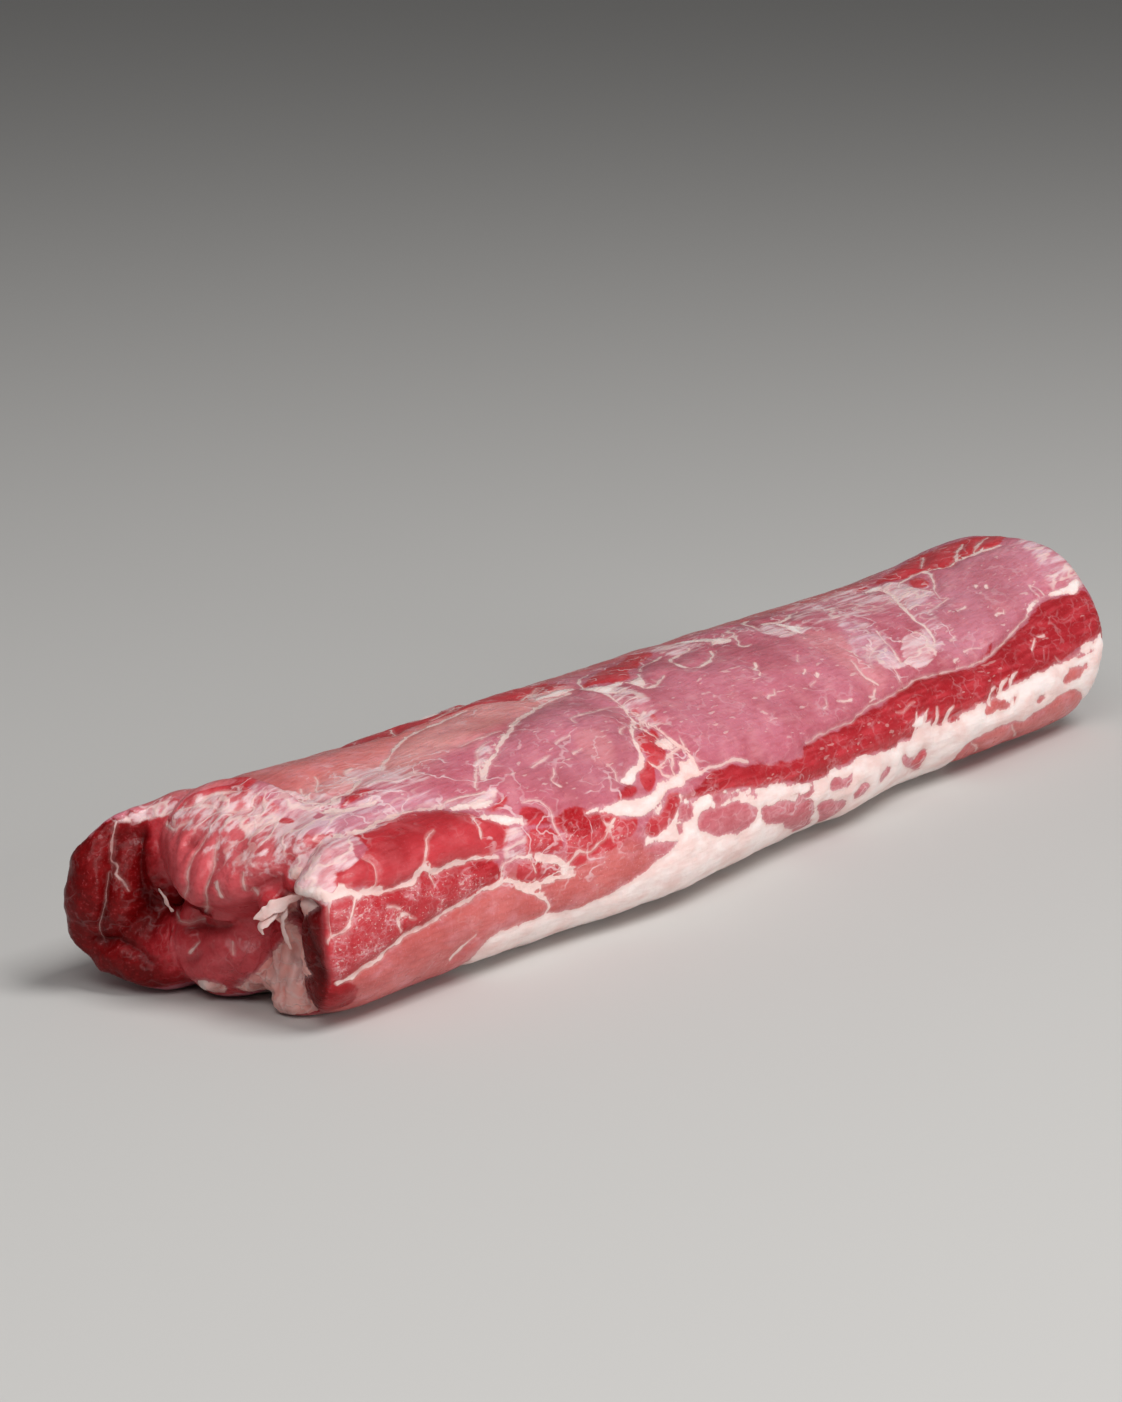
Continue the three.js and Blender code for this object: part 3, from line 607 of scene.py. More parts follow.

# Lines of fat on the torn end, and a few painted glints drawn as fat: across the loin, height.
TORN_SEAMS = {
    "seam of the back lobe": seam((0.6, 0.4), (50, 60), (49, 52), (47.6, 48), (46, 46), (45.6, 44)),
    "ribbon of the back lobe": seam((0.3, 0.3), (47.6, 43), (47.4, 37), (48.6, 32), (50, 28), (52, 24),
        (52.4, 19.6)),
    "branch of that seam": seam((0.5, 0.3), (45.4, 42.6), (43, 40), (41.6, 37.6)),
    "crease of the middle lobe": seam((0.5, 0.4), (12, 57), (12.6, 52), (12.4, 48), (11, 44), (13, 40)),
    "groove of the middle lobe": seam((0.4, 0.7), (6.6, 57), (6, 54), (4, 50), (3.6, 45), (4.4, 41),
        (7, 37.6), (13, 34)),
    "line over the middle lobe": seam((0.9, 0.5), (31, 58.4), (26, 58), (22, 60.4)),
    "second line over the middle lobe": seam((0.9, 0.5), (30, 64.6), (24, 65.6), (15, 66), (6, 66.6)),
    "wrinkle of the fat pad": seam((0.4, 0.6), (-15, 19), (-18, 17), (-20, 12), (-19, 6)),
    "second wrinkle of the fat pad": seam((0.6, 0.4), (-19, 24), (-22, 22), (-24, 16)),
    "streak on the middle lobe": seam(0.8, (23, 66.4), (20.6, 69.4), (14, 71)),
    # These three flecks are painted glints, drawn as fat.
    "painted glint on the middle lobe": seam(0.9, (-0.4, 45.4), (-1.2, 42.6)),
    "second painted glint": seam(0.6, (-8, 49), (-8.4, 46)),
    "third painted glint": seam(0.6, (-11, 45), (-11.6, 43)),
    # The shred's line and the next two flecks are painted glints, drawn as fat.
    "shred with a painted glint": seam((0.6, 0.4), (27, 26.4), (21, 26.6), (16, 27.6)),
    "painted glint on the under lobe": seam((0.9, 0.4), (17.6, 18), (15, 20.6)),
    "painted glint by the fat pad": seam(0.6, (1.6, 22), (1, 19.4)),
    "near side of the oval": seam(0.7, (-46.2, 45), (-47, 41), (-47.4, 37), (-47.6, 34)),
}

# Soft areas of the torn end, with painted shade on the back lobe, chin, under lobe and front face: across the
# loin, height.
TORN_WASHES = {
    "top of the middle lobe": wash("veil", 0.8, 7, (30, 60), (22, 60.6), (12, 59.6), (2, 60.6), (-10, 58.4),
        (-22, 58), (-25, 66), (0, 72), (12, 75), (20, 71), (25, 66.6), (30, 65)),
    "brow": wash("veil", 1.25, 1.5, (-22.6, 51), (-24, 55), (-28, 58), (-34, 60), (-40, 59), (-48, 53),
        (-52, 47), (-47, 45.4), (-43, 47), (-38, 48.8), (-33, 49), (-28, 50), (-24.4, 49.4)),
    "pale red of the middle lobe": wash("pale", 1, 6, (30, 66), (-4, 68), (-26, 62), (-8, 40), (12, 34),
        (26, 46)),
    "thin skin of the middle lobe": wash("veil", 0.5, 8, (18, 68), (-6, 68), (-28, 62), (-16, 52), (0, 52),
        (12, 58)),
    "under lobe": wash("pale", 0.6, 6, (12, 24), (-6, 26), (-8, 14), (6, 8), (18, 12)),
    # Painted shade on the chin, the back lobe and the under lobe.
    "painted shade of the chin": wash("shade", 1.3, 6, (64, 17), (40, 16), (30, 4), (64, 0)),
    "painted shade of the back lobe": wash("shade", 1.25, 6, (72, 64), (46, 60), (36, 44), (32, 24), (72, 10)),
    "painted shade of the under lobe": wash("shade", 0.1, 6, (26, 34), (-8, 30), (-10, 12), (10, 2), (26, 6)),
    # Painted shade on the front face.
    "front face in painted shade": wash("shade", 1.3, 3, (-24, 44), (-33, 47), (-41, 44.6), (-43.6, 38), (-44, 20),
        (-42, 8), (-34, 4), (-28, 16), (-24, 30)),
    "flesh under the fat pad": wash("blush", 1, 4, (10, 6), (-8, 28), (-24, 48), (-34, 46), (-48, -4),
        (12, -4)),
    "skin on the back lobe": wash("veil", 1, 2, (51, 61), (44, 63), (38, 67), (31, 65), (31, 61),
        (38, 60.4), (46, 59.4)),
}

# Fold lines of the torn end: across the loin, height.
TORN_CREASES = {
    "chin": crease(2.6, 2.2, (60, 17.4), (50, 19.4), (43, 18.6), (36, 16), (30, 10)),
    "seam of the back lobe": crease(1.4, 1.8, (49, 58), (47, 47), (48, 36), (52, 22)),
    "hollow beside it": crease(2.6, 3, (42, 60), (40, 48), (38, 36), (36, 27)),
    "first fold of the middle lobe": crease(0.6, 1.2, (12, 57), (12.6, 51), (11.4, 45), (13, 40)),
    "second fold of the middle lobe": crease(0.7, 1.2, (6.6, 57), (4, 50), (3.6, 45), (5, 40), (10, 36)),
    "notch": crease(2.4, 2.2, (19, 56), (14, 54.6)),
    "far fold of the middle lobe": crease(0.4, 2, (24, 60), (20, 50), (18, 42)),
    "shred line": crease(2.4, 2, (26, 24), (17, 25.6), (8, 26.6), (0, 30)),
    "fold of the under lobe": crease(1.8, 2, (22, 14), (14, 16), (8, 22)),
    "fold of the fat pad": crease(1.6, 2, (-14, 24), (-17, 15), (-16, 4)),
    "second fold of the fat pad": crease(1.4, 2, (-24, 27), (-25, 16), (-22, 5)),
    "third fold of the fat pad": crease(1.2, 1.8, (-9, 17), (-16, 13), (-24, 12)),
    "hollow of the front face": crease(2, 4, (-34, 44), (-41, 30), (-45, 16)),
    "fourth fold of the fat pad": crease(1.5, 1.1, (-10, 22), (-14, 14), (-12, 6)),
    "fifth fold of the fat pad": crease(1.6, 1.1, (-19, 29), (-21, 20), (-19, 11), (-21, 4)),
    "sixth fold of the fat pad": crease(1.5, 1.1, (-28, 28), (-27, 18), (-29, 8)),
    "seventh fold of the fat pad": crease(1.3, 1.1, (-4, 8), (-10, 6), (-15, 7)),
    "eighth fold of the fat pad": crease(1.3, 1.1, (-20, 21), (-24, 20), (-28, 22)),
    "under the brow": crease(1.8, 1.8, (-24, 46.6), (-33, 46.8), (-41, 44.6), (-44, 41)),
}

# Rounded folds of the torn end: across the loin, height.
TORN_RIDGES = {
    "broad fold of the middle lobe": ridge(0.9, 7.5, (24, 62), (19, 53), (15, 45), (12, 38)),
    "second fold of the middle lobe": ridge(0.4, 3.8, (9.4, 58), (8, 50), (7.6, 44), (10, 38)),
    "far face of the back lobe": ridge(2.2, 8, (58, 54), (57, 40), (59, 25)),
    "inner face of the back lobe": ridge(1.8, 4.5, (43, 56), (42, 45), (43, 33), (46, 24)),
    "edge of the back lobe": ridge(2.8, 4, (40, 58), (37, 46), (34, 34), (30, 24), (27, 12)),
    "chin": ridge(2.4, 5.5, (58, 12), (46, 13), (36, 10)),
    "shred with a painted glint": ridge(2.2, 2.8, (24, 29), (15, 31), (8, 32), (0, 34)),
    "under lobe": ridge(1.8, 6.5, (16, 16), (6, 19), (-4, 17)),
    "lip of the brow": ridge(1.8, 2.2, (-22, 50.6), (-28, 50.6), (-34, 49.8), (-41, 48.2), (-46, 46)),
    "edge of the front wall": ridge(1.2, 2.4, (-46, 46), (-47.2, 38), (-47.6, 28), (-46, 18)),
}

# Flesh between the lobes of the torn end: the middle of each form and its half sizes.
TORN_FORMS = {
    "saddle between the lobes": Form((-251, 37, 48), (19, 12, 20)),
    "tip of the middle lobe": Form((-264, 11, 41), (16, 9, 8)),
    "root of the chin": Form((-256, 29, 13), (16, 9, 11)),
    "bridge to the front wall": Form((-255, -26, 49), (19, 10, 9)),
    "nose of the brow": Form((-267, -37, 50.5), (13, 11, 6.5)),
}

# Soft parts of the torn end that lie back or sag: how far they go, and where that starts and ends.
LEANS = {
    "face of the middle lobe": lean((30, 0, 0), along=(-222, -280), front=(-36, -12), back=(46, 14),
        height=(40, 76)),
    "brow of the front wall": lean((16, 0, 0), along=(-246, -280), back=(-20, -30), height=(68, 81),
        slope=0.5),
    "fat pad and under lobe": lean((8, 0, 0), along=(-236, -266), front=(-36, -26), back=(26, 14),
        height=(4, 28)),
    "lip over them": lean((-8, 0, 0), along=(-236, -266), front=(-30, -22), back=(26, 14), height=(30, 40)),
    "back of the back lobe": lean((0, -3.5, 0), along=(-215, -250), front=(36, 60)),
    "near top": lean((0, 0, -2.5), along=(-205, -238), height=(60, 73)),
}

# Loose flaps of fat on the torn end: along, across, height and half width.
FLAPS = {
    "flake of fat": flap((-268, -27, 43.8, 0.8), (-273, -23.8, 42.4, 1.9), (-277, -21, 40.2, 2.5),
        (-279, -18.2, 38, 2.2), (-280, -15.4, 36.4, 0.4)),
    "hooked tip": flap((-276, -22.4, 39, 0.8), (-279, -19.8, 36.4, 1.9), (-280.4, -18.2, 34, 1.7),
        (-279.8, -19.4, 31.4, 0.3)),
    "strand of the fat pad": flap((-271, -24.4, 42.4, 1.2), (-274.6, -23.6, 38, 1.5), (-275, -24, 34, 1.2),
        (-275.4, -25.2, 30.4, 1.5), (-274, -26.6, 26, 0.6)),
    "hanging shred": flap((-266, 35.2, 36, 0.5), (-269, 32.6, 36.4, 1.2), (-270, 30.2, 35, 1.5),
        (-269.6, 28.8, 32.2, 1.4), (-268, 27.8, 29.4, 0.7)),
}

# Patches of the far cut end: across the loin, height.
CUT_PATCHES = {
    "front muscle": patch("dark", (-70, 44), (-58, 46), (-46, 40), (-40, 28), (-44, 17), (-56, 13),
        (-70, 14)),
    "small muscle under it": patch("red", (-52, 11), (-38, 14), (-26, 12), (-30, 8), (-44, 7)),
    "fat rim": patch("fat", (-72, 12), (-56, 11), (-40, 6.4), (-16, 6), (10, 5), (30, 6.6), (46, 12),
        (60, 18), (60, -6), (-72, -6), ragged=1.2),
    "top muscle": patch("red", (-16, 80), (20, 80), (40, 62), (32, 57), (18, 62), (2, 66), (-14, 66)),
}

# Lines of fat on the far cut end: across the loin, height.
CUT_SEAMS = {
    "round the front muscle": seam((2.6, 1.6), (-66, 47), (-52, 47), (-42, 40), (-36, 28), (-40, 17),
        (-50, 12)),
    "under the top muscle": seam(1.4, (-18, 66), (2, 66), (18, 61), (33, 55), (42, 48)),
    "line in the eye": seam((1, 0.5), (-34, 26), (-20, 24), (-6, 30), (6, 28)),
    "second line in the eye": seam((0.5, 0.9), (8, 48), (18, 42), (26, 30), (36, 22)),
}

# Soft areas of the far cut end: across the loin, height.
EYE = ((-36, 58), (30, 60), (48, 30), (30, 10), (-30, 12))
CUT_WASHES = {
    "eye": wash("warm", 0.3, 10, *EYE),
    "marbling of the eye": wash("marble", 0.5, 8, *EYE),
    "bundles of the cut": wash("bundle", 0.8, 6, (-70, 60), (40, 70), (60, 30), (40, 6), (-70, 10)),
}

# Where the marks of an end take over from those of the sides: shares of the surface's facing, places along.
TORN_FACING = (0.28, 0.62)
TORN_ALONG = (-205.0, -219.0)
CUT_FACING = (0.5, 0.8)
CUT_ALONG = (225.0, 239.0)

# The front wall of the torn end, across the loin, keeps the marks of the sides for longer.
WALL_ACROSS = (-30, -42)
WALL_FACING = (0.6, 0.88)

# What lies this far inside the near section, as a share of its radius, is torn whichever way it faces.
INNER_SHARE = (0.9, 0.78)
INNER_ALONG = (-226.0, -234.0)

# The fields that the marks leave on the mesh, for its relief and its material.
EDGE_NAMES = ("fat_edge", "red_edge", "dark_edge")
SEAM_NAMES = ("seam_side", "seam_reach", "seam_half")
# The shade field darkens the lean, as painted shade on the torn end and in the cap muscle's hollow; the
# hollow field is painted shade in the folds.
EFFECT_NAMES = (
    "veil", "warm", "cool", "front", "pale", "shade", "marble", "fleck", "web", "bundle", "blush", "hollow")
BLENDED_NAMES = (*EDGE_NAMES, "ragged", *EFFECT_NAMES)

# Smooth noise on the mesh: its wavelength in millimetres, octaves and seed.
Cloud = namedtuple("Cloud", "wave octaves seed")
CLOUD_FALL = 0.9
CLOUD_STEP = 2.1

# All marks drift by about this many millimetres, so that no edge is too clean.
DRIFT = 0.9
DRIFT_CLOUDS = (Cloud(9.0, 2, 3.7), Cloud(9.0, 2, 11.3))

# Muscles swell away from fat and seams over this many millimetres, and less away from other muscles.
FAT_SWELL = 2.4
LEAN_SWELL = 2.0
LEAN_SHARE = 0.35

# Lumps everywhere, in millimetres, with more on the torn end, and the dimples on them.
LUMP_CLOUD = Cloud(26.0, 2, 5.1)
LUMP_RISE = 0.5
TORN_LUMP_RISE = 0.6
DIMPLE_CLOUD = Cloud(8.0, 2, 8.9)
DIMPLE_RISE = 0.16

# Wrinkles: their area, the level between them, their depth, noise and squeeze along each axis.
Wrinkle = namedtuple("Wrinkle", "area level depth cloud squeeze", defaults=((1, 1, 1),))
FAT_WRINKLES = (0, 2)
WRINKLES = {
    "broad wrinkles of the torn end": Wrinkle("torn", 0.6, 1.3, Cloud(18.0, 3, 14.3)),
    "wrinkles of the torn end": Wrinkle("torn", 0.2, 0.6, Cloud(6.0, 2, 19.7)),
    "fine wrinkles of the torn end": Wrinkle("torn", 0.08, 0.26, Cloud(3.2, 2, 27.5)),
    "wrinkles of the fat pad": Wrinkle("torn fat", 0.5, 1.6, Cloud(8.0, 3, 23.1)),
    "lumps in the fat of the sides": Wrinkle("side fat", 0.15, 0.55, Cloud(7.0, 3, 29.3), (0.4, 1, 1)),
}

# Noise in the material: its wavelength in millimetres, detail, stretch, turn in radians and shift.
Grain = namedtuple("Grain", "wave detail stretch turn shift", defaults=(2.0, (1, 1, 1), (0, 0, 0), 0.0))
GRAIN_MIDDLE = 0.5
GRAINS = {
    "fine": Grain(1.5),
    "coarse": Grain(4.6, 3.0, (1.9, 1, 1)),
    "broad": Grain(30.0, 3.0, shift=2.0),
    "patchy": Grain(7.0, 3.0, (1.5, 1, 1), shift=6.0),
    "fibre": Grain(1.3, 3.0, (5, 1, 1)),
    "pores": Grain(1.1, 1.0, shift=17.0),
    "streak": Grain(2.7, 4.0, (8, 1, 1), (0, 0, 0.35), 5.0),
    "seam swell": Grain(6.0, shift=23.0),
    "pleats": Grain(10.0, 2.5, (2.8, 1, 1), (0, 0.2, 0.45), 12.0),
    "strands": Grain(13.0, 3.0, (1.6, 1, 1), (0.3, 0.2, 0.4), 7.0),
    "strand places": Grain(15.0, 1.0, shift=27.0),
    "thin strands": Grain(6.0, 2.0, (2.0, 1, 1), (0.1, 0.3, 0.2), 33.0),
    "thin strand places": Grain(9.0, 1.0, shift=37.0),
    "specks": Grain(0.95, 1.5, (1.5, 1, 1), (0, 0.3, 0.2), 9.0),
    "flecks": Grain(2.0, 1.0, (3.2, 1, 1), (0, 0.1, 0.25), 14.0),
    "fleck clusters": Grain(15.0, 1.0, shift=21.0),
    "pinkish fat": Grain(8.0, 3.0, (2, 1, 1), shift=31.0),
    "flesh in the fat": Grain(11.0, 3.0, shift=51.0),
    "wet": Grain(5.0, 3.0, shift=41.0),
}

# Nets of cells in the material: the size of a cell in millimetres and its stretch.
Cells = namedtuple("Cells", "size stretch")
NETS = {
    "bundle net": Cells(4.4, (2.2, 1, 1)),
    "fine net": Cells(1.9, (1.5, 1, 1)),
    "crinkles": Cells(6.0, (1, 1.4, 1)),
}

# Where each mask of the material starts and is full, and its values there if they are not 0 and 1.
RANGES = {
    "red edge": (0.6, -0.6),
    "dark edge": (0.8, -0.8),
    "fat edge": (0.25, -0.25),
    "fat shadow": (1.6, 0.0, 0.0, 0.22),
    "fat depth": (0.3, -1.8),
    "seam swell": (0.3, 0.7, 0.4, 1.7),
    "seam end": (0.6, -0.4),
    "thin seams": (0.1, 0.7, 0.5, 1.0),
    "patchy seams": (0.3, 0.5, 0.6, 1.0),
    "seam core": (0.22, -0.22),
    "seam halo": (1.2, 0.0, 0.0, 0.22),
    "halo in the shade": (0.2, 1.2, 1.0, 0.3),
    "skin streaks": (1.42, 2.12),
    "even skin": (0.2, 1.4, 0.0, 0.5),
    "skin edge": (0.0, 0.25),
    "pleats": (0.04, 0.008),
    "pleated skin": (0.25, 0.8),
    "strands": (0.022, 0.006),
    "strand places": (0.42, 0.6),
    "thin strands": (0.03, 0.006),
    "thin strand places": (0.5, 0.64),
    "bundle net": (0.09, 0.02),
    "patchy bundle net": (0.4, 0.6),
    "fine net": (0.13, 0.02),
    "patchy fine net": (0.3, 0.55),
    "specks": (0.95, 1.02),
    "marbled area": (0.05, 0.3),
    "flecks": (0.775, 0.84),
    "flecked area": (0.1, 0.6),
    "milky clouds": (0.45, 0.75, 0.0, 0.5),
    "milky pores": (0.58, 0.75, 0.0, 0.4),
    "bright clouds": (0.45, 0.7, 0.0, 0.55),
    "red streaks": (0.42, 0.66),
    "deep clouds": (0.4, 0.7, 0.0, 0.45),
    "deep fibres": (0.4, 0.75, 0.0, 0.35),
    "bright pores": (0.6, 0.75, 0.0, 0.2),
    "white skin": (0.35, 0.65),
    "pinkish fat": (0.38, 0.7),
    "fleshy fat": (0.25, 0.7, 1.0, 0.55),
    "flesh in the fat": (0.48, 0.68, 0.0, 0.6),
    "crinkles": (0.1, 0.01),
    # Painted shade in the folds is weaker on fat.
    "hollows": (0.0, 1.0, 0.75, 0.4),
    "roughness": (0.3, 0.7, 0.26, 0.46),
    "gloss": (0.0, 1.0, 1.0, 0.25),
}

# How much of each mask or noise counts in the material.
SHARES = {
    "wander": 4.0,
    "fine wander": 1.1,
    "seam swell": 1.2,
    "seam wander": 1.2,
    "fine seam wander": 0.3,
    "skin streaks": 2.2,
    "thin strands": 0.6,
    "threads of the web": 0.7,
    "threads of the flecks": 0.15,
    "patchy specks": 0.45,
    "marbled specks": 0.13,
    "fleck clusters": 0.2,
    "specks": 0.42,
    "flecks": 0.45,
    "bright bundles": 0.08,
    "dark muscle": 0.95,
    "pale muscle": 0.75,
    # Strength of the painted shade of the shade field.
    "shade": 0.8,
    "bundle net": 0.42,
    "fine net": 0.18,
    "lilac skin": 0.6,
    "silverskin": 0.78,
    "threads": 0.8,
    "crinkles": 0.3,
    "pleats": 0.75,
    "rough fat": 0.08,
    "dull dark muscle": 0.4,
    "fibre height": 0.6,
    "fat height": 0.4,
    "streak height": 0.7,
    "wet height": 0.9,
    "thread height": 0.35,
    "crinkle height": 0.5,
}

# Seams run on this far past their ends, in millimetres, and a few threads are everywhere.
SEAM_END = 0.8
THREADS_EVERYWHERE = 0.08

BUMP_STRENGTH = 0.8
SHADER_VALUES = {
    "Specular IOR Level": 0.12,
    "Coat Roughness": 0.2,
    "Subsurface Weight": 0.12,
    "Subsurface Radius": (1.0, 0.35, 0.25),
    "Subsurface Scale": 0.003,
}

# The stage, in metres: the floor lies just under the meat.
FLOOR_GAP = 0.0004
FLOOR_ROUGHNESS = 0.8
FRAME_WIDTH = 36.0
LIGHT_SIZE = 1.2
Light = namedtuple("Light", "place aim")
LIGHTS = {
    "key": Light((-0.1, -1.3, 2.25), (0.0, 0.0, 0.03)),
    "fill": Light((-0.3, -2.5, 0.55), (0.0, 0.0, 0.03)),
    "end": Light((-1.7, -0.6, 1.7), (-0.25, 0.0, 0.03)),
}


def paint(red, green, blue):
    """A colour given as 0 to 255 on screen, as the linear light that shaders use."""
    shares = (red / 255, green / 255, blue / 255)
    return tuple(c / 12.92 if c <= 0.04045 else ((c + 0.055) / 1.055) ** 2.4 for c in shares)


def smooth_step(value, start, end):
    """0 at start, 1 at end, eased between."""
    share = np.clip((value - start) / (end - start), 0, 1)
    return share * share * (3 - 2 * share)


def rounded(points, closed):
    """More points on a smooth curve through the given ones."""
    knots = np.array(points, float)
    if closed:
        ring = np.vstack([knots[-1:], knots, knots[:2]])
    else:
        ring = np.vstack([2 * knots[:1] - knots[1:2], knots, 2 * knots[-1:] - knots[-2:-1]])
    share = np.arange(CURVE_PIECES)[:, None] / CURVE_PIECES
    curve = []
    for before, start, end, after in zip(ring, ring[1:], ring[2:], ring[3:]):
        bend = (2 * start + (end - before) * share + (2 * before - 5 * start + 4 * end - after) * share ** 2
                + (3 * start - before - 3 * end + after) * share ** 3)
        curve.append(0.5 * bend)
    if not closed:
        curve.append(knots[-1:])
    return np.vstack(curve)


def near_spots(spots, curve):
    """Which spots lie within reach of a curve."""
    return np.flatnonzero(np.all((spots > curve.min(0) - REACH) & (spots < curve.max(0) + REACH), axis=1))


def patch_edge(spots, points):
    """How far each spot is outside a closed outline, in millimetres; negative inside."""
    curve = rounded(points, True)
    found = np.full(len(spots), REACH)
    near = near_spots(spots, curve)
    x, y = spots[near].T
    best = np.full(len(near), REACH)
    inside = np.zeros(len(near), bool)
    for (ax, ay), (bx, by) in zip(curve, np.roll(curve, -1, axis=0)):
        span = max((bx - ax) ** 2 + (by - ay) ** 2, TINY ** 2)
        share = np.clip(((x - ax) * (bx - ax) + (y - ay) * (by - ay)) / span, 0, 1)
        best = np.minimum(best, np.hypot(x - ax - share * (bx - ax), y - ay - share * (by - ay)))
        if ay != by:
            inside ^= ((ay > y) != (by > y)) & (x < (bx - ax) * (y - ay) / (by - ay) + ax)
    found[near] = np.where(inside, -best, best)
    return found


def line_place(spots, points):
    """How far each spot is from an open line, on which side, and how far along it, from 0 to 1."""
    curve = rounded(points, False)
    reach = np.full(len(spots), REACH)
    side = np.full(len(spots), REACH)
    along = np.zeros(len(spots))
    near = near_spots(spots, curve)
    x, y = spots[near].T
    best, hand, place = reach[near], side[near], along[near]
    pieces = len(curve) - 1
    for i, ((ax, ay), (bx, by)) in enumerate(zip(curve, curve[1:])):
        length = max(math.hypot(bx - ax, by - ay), TINY)
        ux, uy = (bx - ax) / length, (by - ay) / length
        travel = np.clip((x - ax) * ux + (y - ay) * uy, 0, length)
        apart = np.hypot(x - ax - travel * ux, y - ay - travel * uy)
        closer = apart < best
        best = np.where(closer, apart, best)
        hand = np.where(closer, (x - ax) * uy - (y - ay) * ux, hand)
        place = np.where(closer, (i + travel / length) / pieces, place)
    reach[near], side[near], along[near] = best, hand, place
    return reach, side, along


def blank_fields(count):
    """The fields of places that no mark reaches."""
    fields = {name: np.full(count, REACH) for name in EDGE_NAMES + SEAM_NAMES}
    fields.update({name: np.zeros(count) for name in EFFECT_NAMES})
    fields["ragged"] = np.full(count, RAGGED)
    fields["seam_half"] = np.full(count, SEAM_HALF)
    return fields


def painted(spots, patches, seams, washes, ticks=()):
    """The fields of one map of marks at each spot; red muscle runs on under fat and dark muscle."""
    fields = blank_fields(len(spots))
    for mark in patches.values():
        edge = patch_edge(spots, mark.points)
        fields["ragged"] = np.where(np.abs(edge) < RAGGED_REACH, mark.ragged, fields["ragged"])
        for name in EDGE_NAMES:
            if name == mark.tissue + "_edge":
                fields[name] = np.minimum(fields[name], edge)
            elif name != "red_edge" or mark.tissue == "pink":
                fields[name] = np.maximum(fields[name], -edge)
    for mark in (*seams.values(), *ticks):
        reach, side, along = line_place(spots, mark.points)
        nearer = reach < fields["seam_reach"]
        half = (mark.width[0] + (mark.width[1] - mark.width[0]) * along) / 2
        for name, value in (("seam_reach", reach), ("seam_side", side), ("seam_half", half)):
            fields[name] = np.where(nearer, value, fields[name])
    for mark in washes.values():
        edge = patch_edge(spots, mark.points)
        strength = mark.amount * smooth_step(-edge, -mark.fade, mark.fade * FADE_INSIDE)
        if mark.amount < 0:
            fields[mark.effect] = np.maximum(fields[mark.effect] + strength, 0)
        else:
            fields[mark.effect] = np.maximum(fields[mark.effect], strength)
    return fields


def creased(spots, creases):
    """How deep the fold lines press each spot, in millimetres."""
    depth = np.zeros(len(spots))
    for mark in creases.values():
        reach, _, along = line_place(spots, mark.points)
        ends = smooth_step(np.minimum(along, 1 - along), *CREASE_ENDS)
        depth += mark.depth * ends * np.exp(-reach / mark.width)
    return depth


def ridged(spots, ridges):
    """How far the rounded folds raise each spot, in millimetres."""
    rise = np.zeros(len(spots))
    for mark in ridges.values():
        reach, _, along = line_place(spots, mark.points)
        ends = smooth_step(np.minimum(along, 1 - along), *RIDGE_ENDS)
        rise = np.maximum(rise, mark.rise * ends * np.clip(1 - (reach / mark.half) ** 2, 0, 1))
    return rise


def clouds(places, cloud):
    """A smooth random field of about -1 to 1, at places in millimetres."""
    scaled = places / cloud.wave + cloud.seed
    return np.array([noise.fractal(Vector(p), CLOUD_FALL, CLOUD_STEP, cloud.octaves) for p in scaled])


class MeatMap:
    """The loin's own coordinates: along it, and round it from the front."""

    def __init__(self, mesh):
        places = mesh_places(mesh)
        faces = [tuple(face.vertices) for face in mesh.polygons]
        self.tree = BVHTree.FromPolygons([Vector(p) for p in places], faces)
        self.stations = np.arange(AXIS_FROM, AXIS_TO, AXIS_STEP, dtype=float)
        self.middles = np.array([self.middle(x) for x in self.stations])
        self.angles = np.radians(np.arange(-180, 180 + ANGLE_STEP, ANGLE_STEP))
        rings = [self.ring(x) for x in np.arange(GIRTH_FROM, GIRTH_TO, GIRTH_STEP)]
        radius = np.mean(rings, axis=0)
        steps = np.hypot(np.diff(radius), (radius[1:] + radius[:-1]) / 2 * np.diff(self.angles))
        girth = np.concatenate([[0], np.cumsum(steps)])
        self.girth = girth - np.interp(0, self.angles, girth)
        self.near_ring = self.ring(INNER_ALONG[0])

    def middle(self, x):
        """The middle of the loin across, at a place along it."""
        sides = []
        for sign in (-1, 1):
            start = Vector((x, sign * FAR_OUTSIDE, AXIS_HEIGHT))
            sides.append(self.tree.ray_cast(start, Vector((0, -sign, 0)))[0].y)
        return sum(sides) / 2

    def ring(self, x):
        """How far the surface is from the axis at each angle, at a place along the loin."""
        start = Vector((x, float(np.interp(x, self.stations, self.middles)), AXIS_HEIGHT))
        rays = [Vector((0, -math.cos(angle), math.sin(angle))) for angle in self.angles]
        return np.array([self.tree.ray_cast(start, ray)[3] for ray in rays])

    def around(self):
        """The whole way round."""
        return self.girth[-1] - self.girth[0]

    def spots(self, places):
        """Along and round, and the share of the near section's radius, at places in millimetres."""
        across = places[:, 1] - np.interp(places[:, 0], self.stations, self.middles)
        height = places[:, 2] - AXIS_HEIGHT
        angle = np.arctan2(height, -across)
        share = np.hypot(across, height) / np.interp(angle, self.angles, self.near_ring)
        return np.stack([places[:, 0], np.interp(angle, self.angles, self.girth)], 1), share


def mesh_places(mesh):
    """A mesh's points in millimetres."""
    places = np.zeros(len(mesh.vertices) * 3, np.float32)
    mesh.vertices.foreach_get("co", places)
    return places.reshape(-1, 3).astype(float) / MM


def mesh_facings(mesh):
    """A mesh's outward directions at its points."""
    facings = np.zeros(len(mesh.vertices) * 3, np.float32)
    mesh.vertex_normals.foreach_get("vector", facings)
    return facings.reshape(-1, 3).astype(float)


def set_places(mesh, places):
    """Move a mesh's points to places in millimetres."""
    mesh.vertices.foreach_set("co", (places * MM).astype(np.float32).ravel())
    mesh.update()


